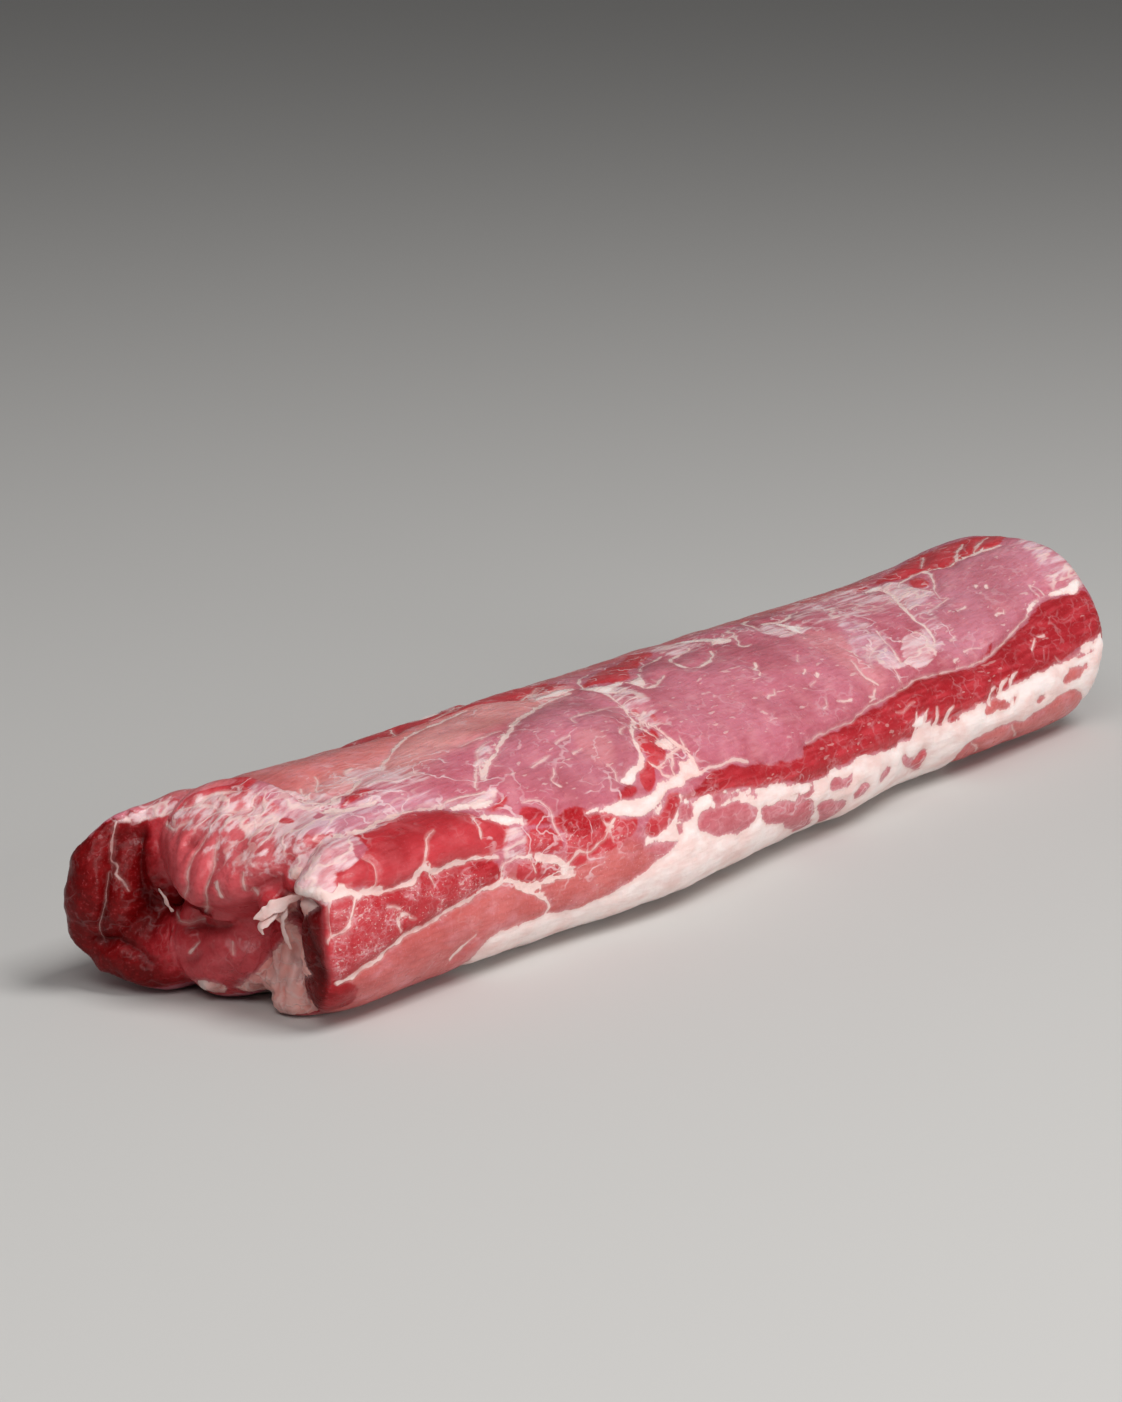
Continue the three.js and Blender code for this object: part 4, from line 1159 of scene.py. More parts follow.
def nearer_turn(fields, other):
    """Two sets of fields of the same places, one a whole turn on, put together."""
    for name in EDGE_NAMES:
        fields[name] = np.minimum(fields[name], other[name])
    nearer = other["seam_reach"] < fields["seam_reach"]
    for name in SEAM_NAMES:
        fields[name] = np.where(nearer, other[name], fields[name])
    for name in EFFECT_NAMES:
        fields[name] = np.maximum(fields[name], other[name])
    return fields


def end_shares(places, facings, share):
    """How far each place belongs to the torn end, and to the cut end."""
    along = places[:, 0]
    wall = smooth_step(places[:, 1], *WALL_ACROSS)
    start, end = (torn + (front - torn) * wall for torn, front in zip(TORN_FACING, WALL_FACING))
    torn = smooth_step(-facings[:, 0], start, end) * smooth_step(along, *TORN_ALONG)
    inner = smooth_step(share, *INNER_SHARE) * smooth_step(along, *INNER_ALONG) * (1 - wall)
    cut = smooth_step(facings[:, 0], *CUT_FACING) * smooth_step(along, *CUT_ALONG)
    return np.maximum(torn, inner), cut


def meat_fields(meat_map, places, facings):
    """All the mark fields at the loin's places, and how deep its fold lines press."""
    drift = DRIFT * np.stack([clouds(places, cloud) for cloud in DRIFT_CLOUDS], 1)
    spots, share = meat_map.spots(places)
    spots = spots + drift
    turned = spots - np.array([0, meat_map.around()])
    sides = (BODY_PATCHES, BODY_SEAMS, BODY_WASHES, BODY_TICKS)
    fields = nearer_turn(painted(spots, *sides), painted(turned, *sides))
    depth = creased(spots, BODY_CREASES)
    across = places[:, 1:] + drift
    torn_fields = painted(across, TORN_PATCHES, TORN_SEAMS, TORN_WASHES)
    torn_fields["red_edge"][:] = -REACH
    cut_fields = painted(across, CUT_PATCHES, CUT_SEAMS, CUT_WASHES)
    torn, cut = end_shares(places, facings, share)
    for weight, end_fields in ((torn, torn_fields), (cut, cut_fields)):
        for name in BLENDED_NAMES:
            fields[name] = fields[name] * (1 - weight) + end_fields[name] * weight
        for name in SEAM_NAMES:
            fields[name] = np.where(weight > 0.5, end_fields[name], fields[name])
        depth = depth * (1 - weight)
    depth += torn * (creased(across, TORN_CREASES) - ridged(across, TORN_RIDGES))
    # Painted shade in the folds, full at HOLLOW_DEPTH.
    fields["hollow"] = np.clip(depth / HOLLOW_DEPTH, 0, 1)
    fields["torn"] = torn
    return fields, depth


def whole_form(node):
    """The solid's mesh with the forms between its lobes added."""
    work = bmesh.new()
    work.from_mesh(node.data)
    bmesh.ops.remove_doubles(work, verts=work.verts, dist=WELD_GAP)
    for form in TORN_FORMS.values():
        size = Matrix.Diagonal((*(Vector(form.half) * MM), 1.0))
        place = Matrix.Translation(Vector(form.middle) * MM) @ size
        bmesh.ops.create_icosphere(work, subdivisions=FORM_ROUNDNESS, radius=1.0, matrix=place)
    mesh = bpy.data.meshes.new("loin_work")
    work.to_mesh(mesh)
    work.free()
    return mesh


def finer_end(mesh):
    """Split the faces of the torn end, where the relief is finest."""
    work = bmesh.new()
    work.from_mesh(mesh)
    edges = [edge for edge in work.edges if max(point.co.x for point in edge.verts) < FINE_FROM * MM]
    bmesh.ops.subdivide_edges(work, edges=edges, cuts=1, use_grid_fill=True)
    work.to_mesh(mesh)
    work.free()


def soften(mesh, passes):
    """Draw each point halfway to the mean of its neighbours, some times over."""
    ends = np.zeros(len(mesh.edges) * 2, np.int32)
    mesh.edges.foreach_get("vertices", ends)
    first, second = ends.reshape(-1, 2).T
    places = mesh_places(mesh)
    count = np.bincount(ends, minlength=len(places))
    for _ in range(passes):
        for axis in range(3):
            row = places[:, axis]
            total = np.bincount(first, row[second], len(row)) + np.bincount(second, row[first], len(row))
            places[:, axis] = (row + total / count) / 2
    set_places(mesh, places)


def leaned(places):
    """The places with the soft parts of the torn end laid back."""
    along, across, height = places.T
    moved = places.copy()
    for part in LEANS.values():
        share = smooth_step(along, *part.along)
        level = height - part.slope * across
        for value, limits in ((across, part.front), (across, part.back), (level, part.height)):
            if limits:
                share = share * smooth_step(value, *limits)
        moved += np.outer(share, part.shift)
    return moved


def loin_mesh(node, settings):
    """A smooth, evenly meshed copy of the solid, finer at the torn end."""
    shape = whole_form(node)
    work = bpy.data.objects.new("loin_work", shape)
    bpy.context.scene.collection.objects.link(work)
    rounding = work.modifiers.new("Rounding", "SUBSURF")
    rounding.levels = 1
    even = work.modifiers.new("Even mesh", "REMESH")
    even.mode = "VOXEL"
    even.voxel_size = settings.mesh_step
    bpy.context.view_layer.update()
    mesh = bpy.data.meshes.new_from_object(work.evaluated_get(bpy.context.evaluated_depsgraph_get()))
    bpy.data.objects.remove(work)
    bpy.data.meshes.remove(shape)
    finer_end(mesh)
    soften(mesh, settings.smoothing)
    mesh.name = "pork_loin_meat"
    return mesh


def relief(fields, depth, places, settings):
    """How far each place rises, in millimetres: full muscles, low seams, fold lines and a lumpy surface."""
    seam_gap = np.clip(fields["seam_reach"] - fields["seam_half"], 0, REACH)
    fat_gap = np.minimum(np.abs(fields["fat_edge"]), seam_gap)
    lean_gap = np.minimum(np.abs(fields["red_edge"]), np.abs(fields["dark_edge"]))
    rise = settings.muscle_swell / MM * (1 - np.exp(-fat_gap / FAT_SWELL))
    rise += LEAN_SHARE * settings.muscle_swell / MM * (1 - np.exp(-lean_gap / LEAN_SWELL))
    rise -= depth * settings.fold_depth
    torn = fields["torn"]
    rise += clouds(places, LUMP_CLOUD) * (LUMP_RISE + TORN_LUMP_RISE * torn)
    rise += clouds(places, DIMPLE_CLOUD) * DIMPLE_RISE
    fat = smooth_step(-fields["fat_edge"], *FAT_WRINKLES)
    areas = {"torn": torn, "torn fat": torn * fat, "side fat": (1 - torn) * fat}
    for wrinkle in WRINKLES.values():
        folds = np.abs(clouds(places * wrinkle.squeeze, wrinkle.cloud))
        rise += areas[wrinkle.area] * (wrinkle.level - wrinkle.depth * folds)
    return rise


def put_fields(mesh, fields):
    """Leave the fields on a mesh for its material to read."""
    for name in BLENDED_NAMES + SEAM_NAMES:
        attribute = mesh.attributes.new(name, "FLOAT", "POINT")
        attribute.data.foreach_set("value", fields[name].astype(np.float32))


def flap_mesh():
    """All the loose flaps as one mesh: flat tubes with a wavy edge that curl along their length."""
    places, faces = [], []
    for rows in FLAPS.values():
        spine = rounded(rows, False)
        travel = np.gradient(spine[:, 1:3], axis=0)
        travel /= np.linalg.norm(travel, axis=1)[:, None]
        first = len(places)
        for (x, across, height, half), (along_y, along_z) in zip(spine, travel):
            spots = [Vector((across, height, x + apart)) / FLAP_RAG for apart in FLAP_EDGES]
            edges = [1 + FLAP_WAVE * noise.noise(spot) for spot in spots]
            for turn in np.arange(FLAP_SIDES) * 2 * math.pi / FLAP_SIDES:
                side = half * edges[math.cos(turn) < 0] * math.cos(turn)
                thick = FLAP_THICKNESS / 2 * math.sin(turn) - FLAP_CURL * half * math.cos(turn)
                places.append((x - thick, across - along_z * side, height + along_y * side))
        for row in range(first, len(places) - FLAP_SIDES, FLAP_SIDES):
            for j in range(FLAP_SIDES):
                k = (j + 1) % FLAP_SIDES
                faces.append((row + j, row + k, row + FLAP_SIDES + k, row + FLAP_SIDES + j))
        faces.append(tuple(range(first, first + FLAP_SIDES)))
        faces.append(tuple(range(len(places) - FLAP_SIDES, len(places))))
    mesh = bpy.data.meshes.new("torn_flaps")
    mesh.from_pydata([Vector(place) * MM for place in places], [], faces)
    work = bmesh.new()
    work.from_mesh(mesh)
    bmesh.ops.recalc_face_normals(work, faces=work.faces)
    work.to_mesh(mesh)
    work.free()
    return mesh


class NodeMaker:
    """Short names for the nodes that the meat's material uses; each field and noise is made once."""

    def __init__(self, tree, settings):
        self.tree = tree
        self.settings = settings
        self.made = {}
        self.object_place = tree.nodes.new("ShaderNodeTexCoord").outputs["Object"]

    def join(self, source, socket):
        """Set a socket to a number or to a colour of the settings, or link an output to it."""
        if isinstance(source, (int, float)):
            socket.default_value = source
        elif isinstance(source, str):
            socket.default_value = (*getattr(self.settings, source), 1.0)
        else:
            self.tree.links.new(source, socket)

    def field(self, name):
        """One of the mesh's fields."""
        if name not in self.made:
            node = self.tree.nodes.new("ShaderNodeAttribute")
            node.attribute_name = name
            self.made[name] = node.outputs["Fac"]
        return self.made[name]

    def math(self, operation, *values):
        """A sum, by Blender's name for it."""
        node = self.tree.nodes.new("ShaderNodeMath")
        node.operation = operation
        for value, socket in zip(values, node.inputs):
            self.join(value, socket)
        return node.outputs[0]

    def times(self, first, second):
        """Two values multiplied."""
        return self.math("MULTIPLY", first, second)

    def larger(self, first, second):
        """The larger of two values."""
        return self.math("MAXIMUM", first, second)

    def scaled(self, value, share):
        """A value times one of the SHARES."""
        return self.times(value, SHARES[share])

    def added(self, base, value, share):
        """A base with a value times one of the SHARES added."""
        return self.math("MULTIPLY_ADD", value, SHARES[share], base)

    def ease(self, value, name):
        """A value eased over one of the RANGES."""
        node = self.tree.nodes.new("ShaderNodeMapRange")
        node.interpolation_type = "SMOOTHSTEP"
        sockets = ("Value", "From Min", "From Max", "To Min", "To Max")
        for source, socket in zip((value, *RANGES[name], 0.0, 1.0), sockets):
            self.join(source, node.inputs[socket])
        return node.outputs["Result"]

    def place(self, size, stretch, turn=(0, 0, 0), shift=0.0):
        """The place on the meat, in steps of a size in millimetres that stretch draws out."""
        node = self.tree.nodes.new("ShaderNodeMapping")
        node.inputs["Rotation"].default_value = turn
        node.inputs["Location"].default_value = (shift, shift, shift)
        node.inputs["Scale"].default_value = [1 / (MM * size * share) for share in stretch]
        self.join(self.object_place, node.inputs["Vector"])
        return node.outputs["Vector"]

    def grain(self, name):
        """One of the GRAINS."""
        key = ("grain", name)
        if key not in self.made:
            grain = GRAINS[name]
            node = self.tree.nodes.new("ShaderNodeTexNoise")
            node.inputs["Scale"].default_value = 1.0
            node.inputs["Detail"].default_value = grain.detail
            self.join(self.place(grain.wave, grain.stretch, grain.turn, grain.shift), node.inputs["Vector"])
            self.made[key] = node.outputs["Fac"]
        return self.made[key]

    def swing(self, name):
        """One of the GRAINS around zero."""
        key = ("swing", name)
        if key not in self.made:
            self.made[key] = self.math("SUBTRACT", self.grain(name), GRAIN_MIDDLE)
        return self.made[key]

    def lines(self, name):
        """Thin lines where one of the GRAINS passes its middle."""
        return self.ease(self.math("ABSOLUTE", self.swing(name)), name)

    def net(self, name):
        """The lines between the cells of one of the NETS."""
        cells = NETS[name]
        moved = self.tree.nodes.new("ShaderNodeVectorMath")
        self.join(self.place(cells.size, cells.stretch), moved.inputs[0])
        self.join(self.swing("coarse"), moved.inputs[1])
        node = self.tree.nodes.new("ShaderNodeTexVoronoi")
        node.feature = "DISTANCE_TO_EDGE"
        node.inputs["Scale"].default_value = 1.0
        self.join(moved.outputs["Vector"], node.inputs["Vector"])
        return self.ease(node.outputs["Distance"], name)

    def mix(self, share, first, second, blend="MIX"):
        """Two colours mixed by a share of the second."""
        node = self.tree.nodes.new("ShaderNodeMix")
        node.data_type = "RGBA"
        node.blend_type = blend
        self.join(share, node.inputs["Factor"])
        self.join(first, node.inputs[6])
        self.join(second, node.inputs[7])
        return node.outputs[2]


def tissue_edges(make):
    """How far it is to the fat, and the shares of red and of dark muscle, all with ragged edges."""
    ragged = make.scaled(make.field("ragged"), "wander")
    fine = make.scaled(make.swing("fine"), "fine wander")
    wander = make.math("MULTIPLY_ADD", make.swing("coarse"), ragged, fine)
    fat_edge, red_edge, dark_edge = (make.math("ADD", make.field(name), wander) for name in EDGE_NAMES)
    return fat_edge, make.ease(red_edge, "red edge"), make.ease(dark_edge, "dark edge")


def seam_share(make):
    """The share of fat in the seams, which swell and wander, with a faint halo."""
    coarse = make.swing("coarse")
    seam_half = make.field("seam_half")
    swell = make.added(make.ease(make.grain("seam swell"), "seam swell"), coarse, "seam swell")
    side = make.added(make.field("seam_side"), make.swing("fine"), "fine seam wander")
    side = make.added(side, coarse, "seam wander")
    gap = make.math("SUBTRACT", make.math("ABSOLUTE", side), make.times(seam_half, swell))
    end_gap = make.math("SUBTRACT", make.field("seam_reach"), make.math("ADD", seam_half, SEAM_END))
    strength = make.times(make.ease(seam_half, "thin seams"), make.ease(make.grain("patchy"), "patchy seams"))
    core = make.times(make.ease(gap, "seam core"), strength)
    halo = make.times(make.ease(gap, "seam halo"), make.ease(make.field("shade"), "halo in the shade"))
    return make.times(make.larger(core, halo), make.ease(end_gap, "seam end"))


def silverskin(make):
    """The share of silverskin, in streaks and evenly, and the pleats in it."""
    veil = make.field("veil")
    streaks = make.ease(make.added(veil, make.grain("streak"), "skin streaks"), "skin streaks")
    film = make.times(make.larger(streaks, make.ease(veil, "even skin")), make.ease(veil, "skin edge"))
    return film, make.times(make.lines("pleats"), make.ease(veil, "pleated skin"))


def fine_threads(make):
    """Thin white threads, many where the web or the flecks are."""
    strands = make.times(make.lines("strands"), make.ease(make.grain("strand places"), "strand places"))
    thin_places = make.ease(make.grain("thin strand places"), "thin strand places")
    thin_strands = make.scaled(make.times(make.lines("thin strands"), thin_places), "thin strands")
    amount = make.added(THREADS_EVERYWHERE, make.field("web"), "threads of the web")
    amount = make.added(amount, make.field("fleck"), "threads of the flecks")
    return make.times(make.larger(strands, thin_strands), amount)


def fat_specks_and_glints(make):
    """Specks of fat in the marbled muscle, and flecks in the fields that are partly fat and partly painted
    glints.
    """
    marble = make.field("marble")
    speck = make.added(make.grain("specks"), make.grain("patchy"), "patchy specks")
    speck = make.ease(make.added(speck, marble, "marbled specks"), "specks")
    speck = make.times(speck, make.ease(marble, "marbled area"))
    fleck = make.added(make.grain("flecks"), make.grain("fleck clusters"), "fleck clusters")
    fleck = make.times(make.ease(fleck, "flecks"), make.ease(make.field("fleck"), "flecked area"))
    return make.larger(make.scaled(speck, "specks"), make.scaled(fleck, "flecks"))


def lean_colour(make, red, dark):
    """The colour of the muscles, with their clouds, fibres, pores and bundles, and their painted shade."""
    patchy, pores, bundle = make.grain("patchy"), make.grain("pores"), make.field("bundle")
    lean = make.mix(make.field("warm"), "eye_pink", "warm_pink")
    lean = make.mix(make.field("cool"), lean, "lilac_pink")
    lean = make.mix(make.field("front"), lean, "front_pink")
    lean = make.mix(make.ease(patchy, "milky clouds"), lean, "milky_pink")
    lean = make.mix(make.ease(pores, "milky pores"), lean, "milky_pink")
    bright = make.ease(make.added(patchy, bundle, "bright bundles"), "bright clouds")
    lean = make.mix(red, lean, make.mix(bright, "muscle_red", "bright_red"))
    dark_tone = make.mix(make.ease(make.grain("streak"), "red streaks"), "dark_red", "muscle_red")
    lean = make.mix(make.scaled(dark, "dark muscle"), lean, dark_tone)
    lean = make.mix(make.scaled(make.field("pale"), "pale muscle"), lean, "bright_red")
    lean = make.mix(make.ease(make.grain("broad"), "deep clouds"), lean, "deep_tone", "MULTIPLY")
    lean = make.mix(make.ease(make.grain("fibre"), "deep fibres"), lean, "deep_tone", "MULTIPLY")
    # Painted shade: the shade field multiplies the painted shade tone into the lean.
    lean = make.mix(make.scaled(make.field("shade"), "shade"), lean, "painted_shade_tone", "MULTIPLY")
    lean = make.mix(make.ease(pores, "bright pores"), lean, "bright_red")
    net = make.times(make.times(make.net("bundle net"), make.ease(patchy, "patchy bundle net")), bundle)
    lean = make.mix(make.scaled(net, "bundle net"), lean, "silver_pink")
    fine_area = make.times(make.ease(patchy, "patchy fine net"), make.field("marble"))
    return make.mix(make.scaled(make.times(make.net("fine net"), fine_area), "fine net"), lean, "silver_pink")


def skinned_colour(make, lean, film, fat_edge, threads):
    """The colour of the lean with silverskin, threads and the thin rim of the fat over it."""
    skin = make.mix(make.ease(make.grain("streak"), "white skin"), "silver_pink", "silver_white")
    skin = make.mix(make.scaled(make.field("cool"), "lilac skin"), skin, "lilac_skin")
    colour = make.mix(make.scaled(film, "silverskin"), lean, skin)
    white = make.larger(make.ease(fat_edge, "fat shadow"), make.scaled(threads, "threads"))
    return make.mix(white, colour, "silver_white")


def fat_colour(make, fat_edge, crinkles):
    """The colour of the fat, pinkish at its edges and fleshy on the torn end."""
    blush = make.field("blush")
    fat = make.mix(make.ease(make.grain("pinkish fat"), "pinkish fat"), "fat_white", "fat_blush")
    fat = make.mix(make.ease(fat_edge, "fat depth"), "fat_blush", fat)
    fat = make.mix(make.times(blush, make.ease(make.grain("patchy"), "fleshy fat")), fat, "fat_flesh")
    flesh = make.times(make.ease(make.grain("flesh in the fat"), "flesh in the fat"), blush)
    fat = make.mix(flesh, fat, "front_pink")
    return make.mix(make.scaled(crinkles, "crinkles"), fat, "fat_white")


def meat_material(settings):
    """Raw pork: lean, red and dark muscle, silverskin and fat, laid out by the mesh's own fields, with
    painted shade in the folds.
    """
    material = bpy.data.materials.new("raw_pork")
    material.use_nodes = True
    tree = material.node_tree
    shader = tree.nodes["Principled BSDF"]
    for name, value in SHADER_VALUES.items():
        shader.inputs[name].default_value = value
    make = NodeMaker(tree, settings)

    fat_edge, red, dark = tissue_edges(make)
    film, pleats = silverskin(make)
    threads = fine_threads(make)
    crinkles = make.times(make.net("crinkles"), make.field("blush"))
    fat_area = make.ease(fat_edge, "fat edge")
    fat_share = make.larger(
        make.larger(fat_area, seam_share(make)), make.larger(fat_specks_and_glints(make), make.scaled(pleats, "pleats")))
    colour = skinned_colour(make, lean_colour(make, red, dark), film, fat_edge, threads)
    colour = make.mix(fat_share, colour, fat_colour(make, fat_edge, crinkles))
    # Painted shade in the folds, weaker on fat.
    hollow = make.times(make.field("hollow"), make.ease(fat_area, "hollows"))
    make.join(make.mix(hollow, colour, "painted_shade_tone", "MULTIPLY"), shader.inputs["Base Color"])

    wet = make.grain("wet")
    make.join(make.added(make.ease(wet, "roughness"), fat_share, "rough fat"), shader.inputs["Roughness"])
    gloss = make.ease(make.added(make.field("shade"), dark, "dull dark muscle"), "gloss")
    make.join(make.times(gloss, settings.wetness), shader.inputs["Coat Weight"])

    height = make.scaled(make.grain("fibre"), "fibre height")
    height = make.added(height, fat_share, "fat height")
    height = make.added(height, make.grain("streak"), "streak height")
    height = make.added(height, wet, "wet height")
    height = make.added(height, threads, "thread height")
    height = make.added(height, crinkles, "crinkle height")
    bump = tree.nodes.new("ShaderNodeBump")
    bump.inputs["Strength"].default_value = BUMP_STRENGTH
    bump.inputs["Distance"].default_value = settings.grain_height
    make.join(height, bump.inputs["Height"])
    make.join(bump.outputs["Normal"], shader.inputs["Normal"])
    return material


def colour_property(name, description, *screen_colour):
    """A colour of the settings, with a default given as 0 to 255 on screen."""
    return FloatVectorProperty(
        name=name, description=description, default=paint(*screen_colour), subtype="COLOR", min=0, max=1)


class PorkLoinSettings(bpy.types.PropertyGroup):
    """Sizes and colours of the meat."""

    mesh_step: FloatProperty(
        name="Mesh step", description="Length of a mesh edge", default=0.00195, min=0.001, unit="LENGTH")
    smoothing: IntProperty(
        name="Smoothing", description="Passes that smooth the solid's facets", default=11, min=0)
    muscle_swell: FloatProperty(
        name="Muscle swell", description="Rise of muscles above their seams", default=0.0011, unit="LENGTH")
    fold_depth: FloatProperty(
        name="Fold depth", description="Share of each fold line's depth", default=1.0, subtype="FACTOR")
    grain_height: FloatProperty(
        name="Grain height", description="Height of the fine grain", default=0.0005, unit="LENGTH")
    wetness: FloatProperty(
        name="Wetness", description="Strength of the film", default=0.26, min=0, max=1, subtype="FACTOR")
    eye_pink: colour_property("Eye muscle", "Pale muscle of the field", 192, 105, 121)
    warm_pink: colour_property("Warm flesh", "Orange-pink muscle of the top", 232, 160, 156)
    lilac_pink: colour_property("Lilac flesh", "Muscle under thin skin", 198, 130, 146)
    front_pink: colour_property("Belly muscle", "Brownish pink muscle low on the front", 200, 104, 101)
    muscle_red: colour_property("Red muscle", "Cap and marbled muscle", 190, 52, 60)
    dark_red: colour_property("Dark muscle", "The strip along the front", 168, 28, 36)
    bright_red: colour_property("Bright red", "Lighter parts of the red muscle", 206, 92, 98)
    milky_pink: colour_property("Milky pink", "Pale clouds in the lean", 214, 146, 154)
    deep_tone: colour_property("Deep tone", "Tint that deepens the lean", 212, 160, 160)
    # The shade and hollow fields multiply this tint in as painted shade.
    painted_shade_tone: colour_property("Painted shade tone", "Tint of the painted shade", 164, 96, 96)
    silver_white: colour_property("Silverskin", "Streaks of silverskin", 232, 206, 208)
    silver_pink: colour_property("Thin silverskin", "Silverskin that the lean shows through", 216, 160, 166)
    lilac_skin: colour_property("Lilac skin", "Bluish silverskin", 208, 164, 182)
    fat_white: colour_property("Fat", "White fat", 238, 222, 218)
    fat_flesh: colour_property("Fleshy fat", "Fat of the torn end", 246, 172, 162)
    fat_blush: colour_property("Pinkish fat", "Fat with lean under it", 228, 196, 190)


class StageSettings(bpy.types.PropertyGroup):
    """The floor, the lights and the camera."""

    floor_colour: colour_property("Floor", "Colour of the floor", 198, 196, 193)
    floor_size: FloatProperty(name="Floor size", description="Side of the floor", default=30.0, unit="LENGTH")
    sky: FloatProperty(name="Sky light", description="Strength of the even light", default=0.12, min=0)
    key_power: FloatProperty(
        name="Key light", description="Power of the large light", default=44.0, min=0, unit="POWER")
    fill_power: FloatProperty(
        name="Fill light", description="Power of the weaker light", default=29.0, min=0, unit="POWER")
    end_power: FloatProperty(
        name="End light", description="Power of the light on the torn end", default=16.0, min=0, unit="POWER")
    camera_place: FloatVectorProperty(
        name="Camera place", description="Where the camera stands", default=(-1.4815, -0.9051, 0.4621),
        subtype="TRANSLATION", unit="LENGTH")
    camera_aim: FloatVectorProperty(
        name="Camera aim", description="Point that the camera looks at", default=(-0.0130, 0.0322, 0.0530),
        subtype="TRANSLATION", unit="LENGTH")
    lens: FloatProperty(
        name="Lens", description="Focal length for a 36 mm frame", default=118.1, unit="CAMERA")


class PORKLOIN_OT_build_meat(bpy.types.Operator):
    """Build the loin's meat on a copy of its solid"""

    bl_idname = "pork_loin.build_meat"
    bl_label = "Build Meat"

    def execute(self, context):
        settings = context.scene.pork_loin
        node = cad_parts[NODE]
        meat_map = MeatMap(node.data)
        mesh = loin_mesh(node, settings)
        places = mesh_places(mesh)
        fields, depth = meat_fields(meat_map, places, mesh_facings(mesh))
        rise = relief(fields, depth, places, settings)
        set_places(mesh, leaned(places))
        places = mesh_places(mesh) + mesh_facings(mesh) * rise[:, None]
        places[:, 2] = np.maximum(places[:, 2], 0)
        set_places(mesh, places)
        put_fields(mesh, fields)
        mesh.shade_smooth()
        mesh.materials.clear()
        mesh.materials.append(meat_material(settings))
        loin = bpy.data.objects.new("pork_loin_meat", mesh)
        context.scene.collection.objects.link(loin)
        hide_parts(NODE)
        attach(loin, "root")
        return {"FINISHED"}


class PORKLOIN_OT_build_flaps(bpy.types.Operator):
    """Build the loose flaps of fat on the torn end"""

    bl_idname = "pork_loin.build_flaps"
    bl_label = "Build Flaps"

    def execute(self, context):
        meat = bpy.data.objects["pork_loin_meat"].data
        mesh = flap_mesh()
        fields = blank_fields(len(mesh.vertices))
        fields["fat_edge"][:] = FLAP_FAT
        fields["ragged"][:] = FLAP_RAGGED
        fields["blush"][:] = FLAP_BLUSH
        put_fields(mesh, fields)
        mesh.shade_smooth()
        mesh.materials.append(meat.materials[0])
        flaps = bpy.data.objects.new("torn_flaps", mesh)
        context.scene.collection.objects.link(flaps)
        rounding = flaps.modifiers.new("Rounding", "SUBSURF")
        rounding.levels = rounding.render_levels = 1
        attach(flaps, "root")
        return {"FINISHED"}


def put_at(thing, place, aim):
    """Stand a light or the camera at a place, turned to its aim."""
    thing.location = place
    thing.rotation_euler = (Vector(aim) - Vector(place)).to_track_quat("-Z", "Y").to_euler()
    bpy.context.scene.collection.objects.link(thing)


def studio_floor(settings):
    """A square of pale paper under the meat."""
    half = settings.floor_size / 2
    corners = [(-half, -half, 0), (half, -half, 0), (half, half, 0), (-half, half, 0)]
    mesh = bpy.data.meshes.new("floor")
    mesh.from_pydata(corners, [], [(0, 1, 2, 3)])
    paper = bpy.data.materials.new("studio_paper")
    paper.use_nodes = True
    shader = paper.node_tree.nodes["Principled BSDF"]
    shader.inputs["Base Color"].default_value = (*settings.floor_colour, 1)
    shader.inputs["Roughness"].default_value = FLOOR_ROUGHNESS
    mesh.materials.append(paper)
    floor = bpy.data.objects.new("floor", mesh)
    floor.location.z = -FLOOR_GAP
    return floor


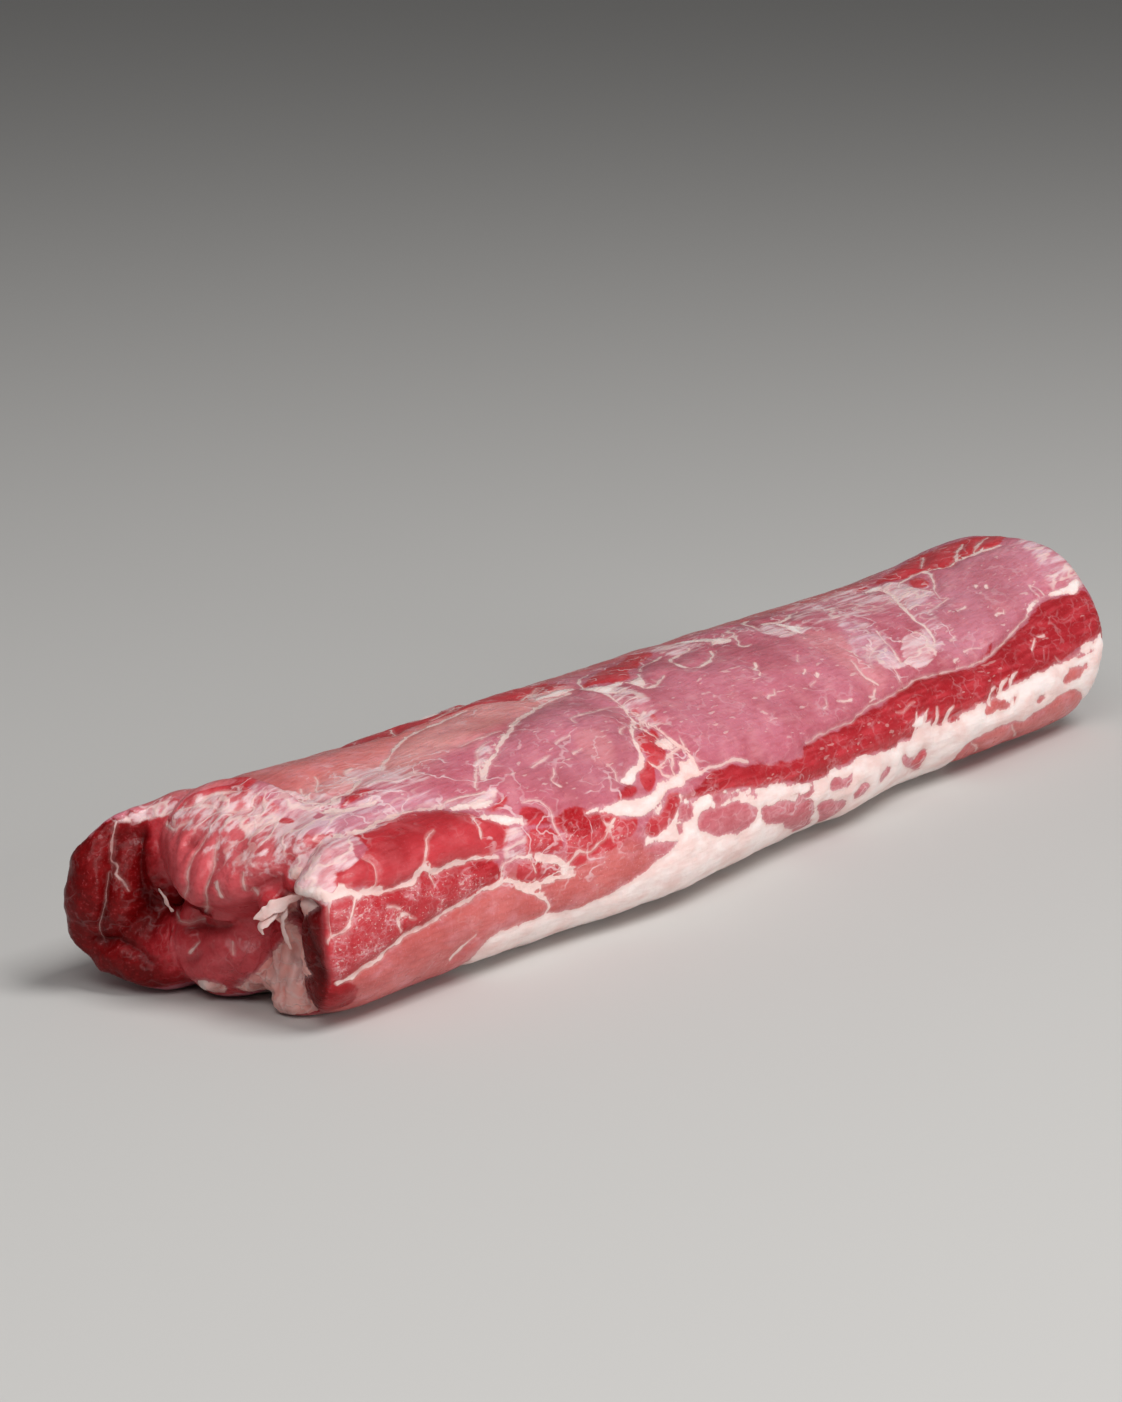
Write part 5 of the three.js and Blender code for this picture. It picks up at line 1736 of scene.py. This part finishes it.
class PORKLOIN_OT_set_stage(bpy.types.Operator):
    """Set the floor, the lights and the camera"""

    bl_idname = "pork_loin.set_stage"
    bl_label = "Set Stage"

    def execute(self, context):
        scene = context.scene
        settings = scene.pork_loin_stage
        floor = studio_floor(settings)
        scene.collection.objects.link(floor)
        world = bpy.data.worlds.new("studio")
        world.use_nodes = True
        sky = world.node_tree.nodes["Background"]
        sky.inputs["Color"].default_value = (1.0, 1.0, 1.0, 1.0)
        sky.inputs["Strength"].default_value = settings.sky
        scene.world = world
        scene.view_settings.view_transform = "Standard"
        for name, stand in LIGHTS.items():
            light = bpy.data.lights.new(name, "AREA")
            light.energy = getattr(settings, name + "_power")
            light.size = LIGHT_SIZE
            put_at(bpy.data.objects.new(name, light), stand.place, stand.aim)
        camera = bpy.data.objects.new("camera", bpy.data.cameras.new("camera"))
        camera.data.sensor_width = FRAME_WIDTH
        camera.data.lens = settings.lens
        put_at(camera, settings.camera_place, settings.camera_aim)
        scene.camera = camera
        return {"FINISHED"}


class PORKLOIN_PT_panel(bpy.types.Panel):
    """Lists the steps that build the loin"""

    bl_idname = "PORKLOIN_PT_panel"
    bl_label = "Pork Loin"
    bl_space_type = "VIEW_3D"
    bl_region_type = "UI"
    bl_category = "Pork Loin"

    def draw(self, context):
        for step in STEPS:
            self.layout.operator(step.bl_idname)
        for group in (context.scene.pork_loin, context.scene.pork_loin_stage):
            box = self.layout.box()
            for name in group.__annotations__:
                box.prop(group, name)


STEPS = (PORKLOIN_OT_build_meat, PORKLOIN_OT_build_flaps, PORKLOIN_OT_set_stage)
CLASSES = (PorkLoinSettings, StageSettings, *STEPS, PORKLOIN_PT_panel)


def register():
    for cls in CLASSES:
        bpy.utils.register_class(cls)
    bpy.types.Scene.pork_loin = PointerProperty(type=PorkLoinSettings)
    bpy.types.Scene.pork_loin_stage = PointerProperty(type=StageSettings)


def unregister():
    del bpy.types.Scene.pork_loin_stage
    del bpy.types.Scene.pork_loin
    for cls in reversed(CLASSES):
        bpy.utils.unregister_class(cls)


def main():
    register()
    bpy.ops.pork_loin.build_meat()
    bpy.ops.pork_loin.build_flaps()
    bpy.ops.pork_loin.set_stage()


if __name__ == "__main__":
    main()
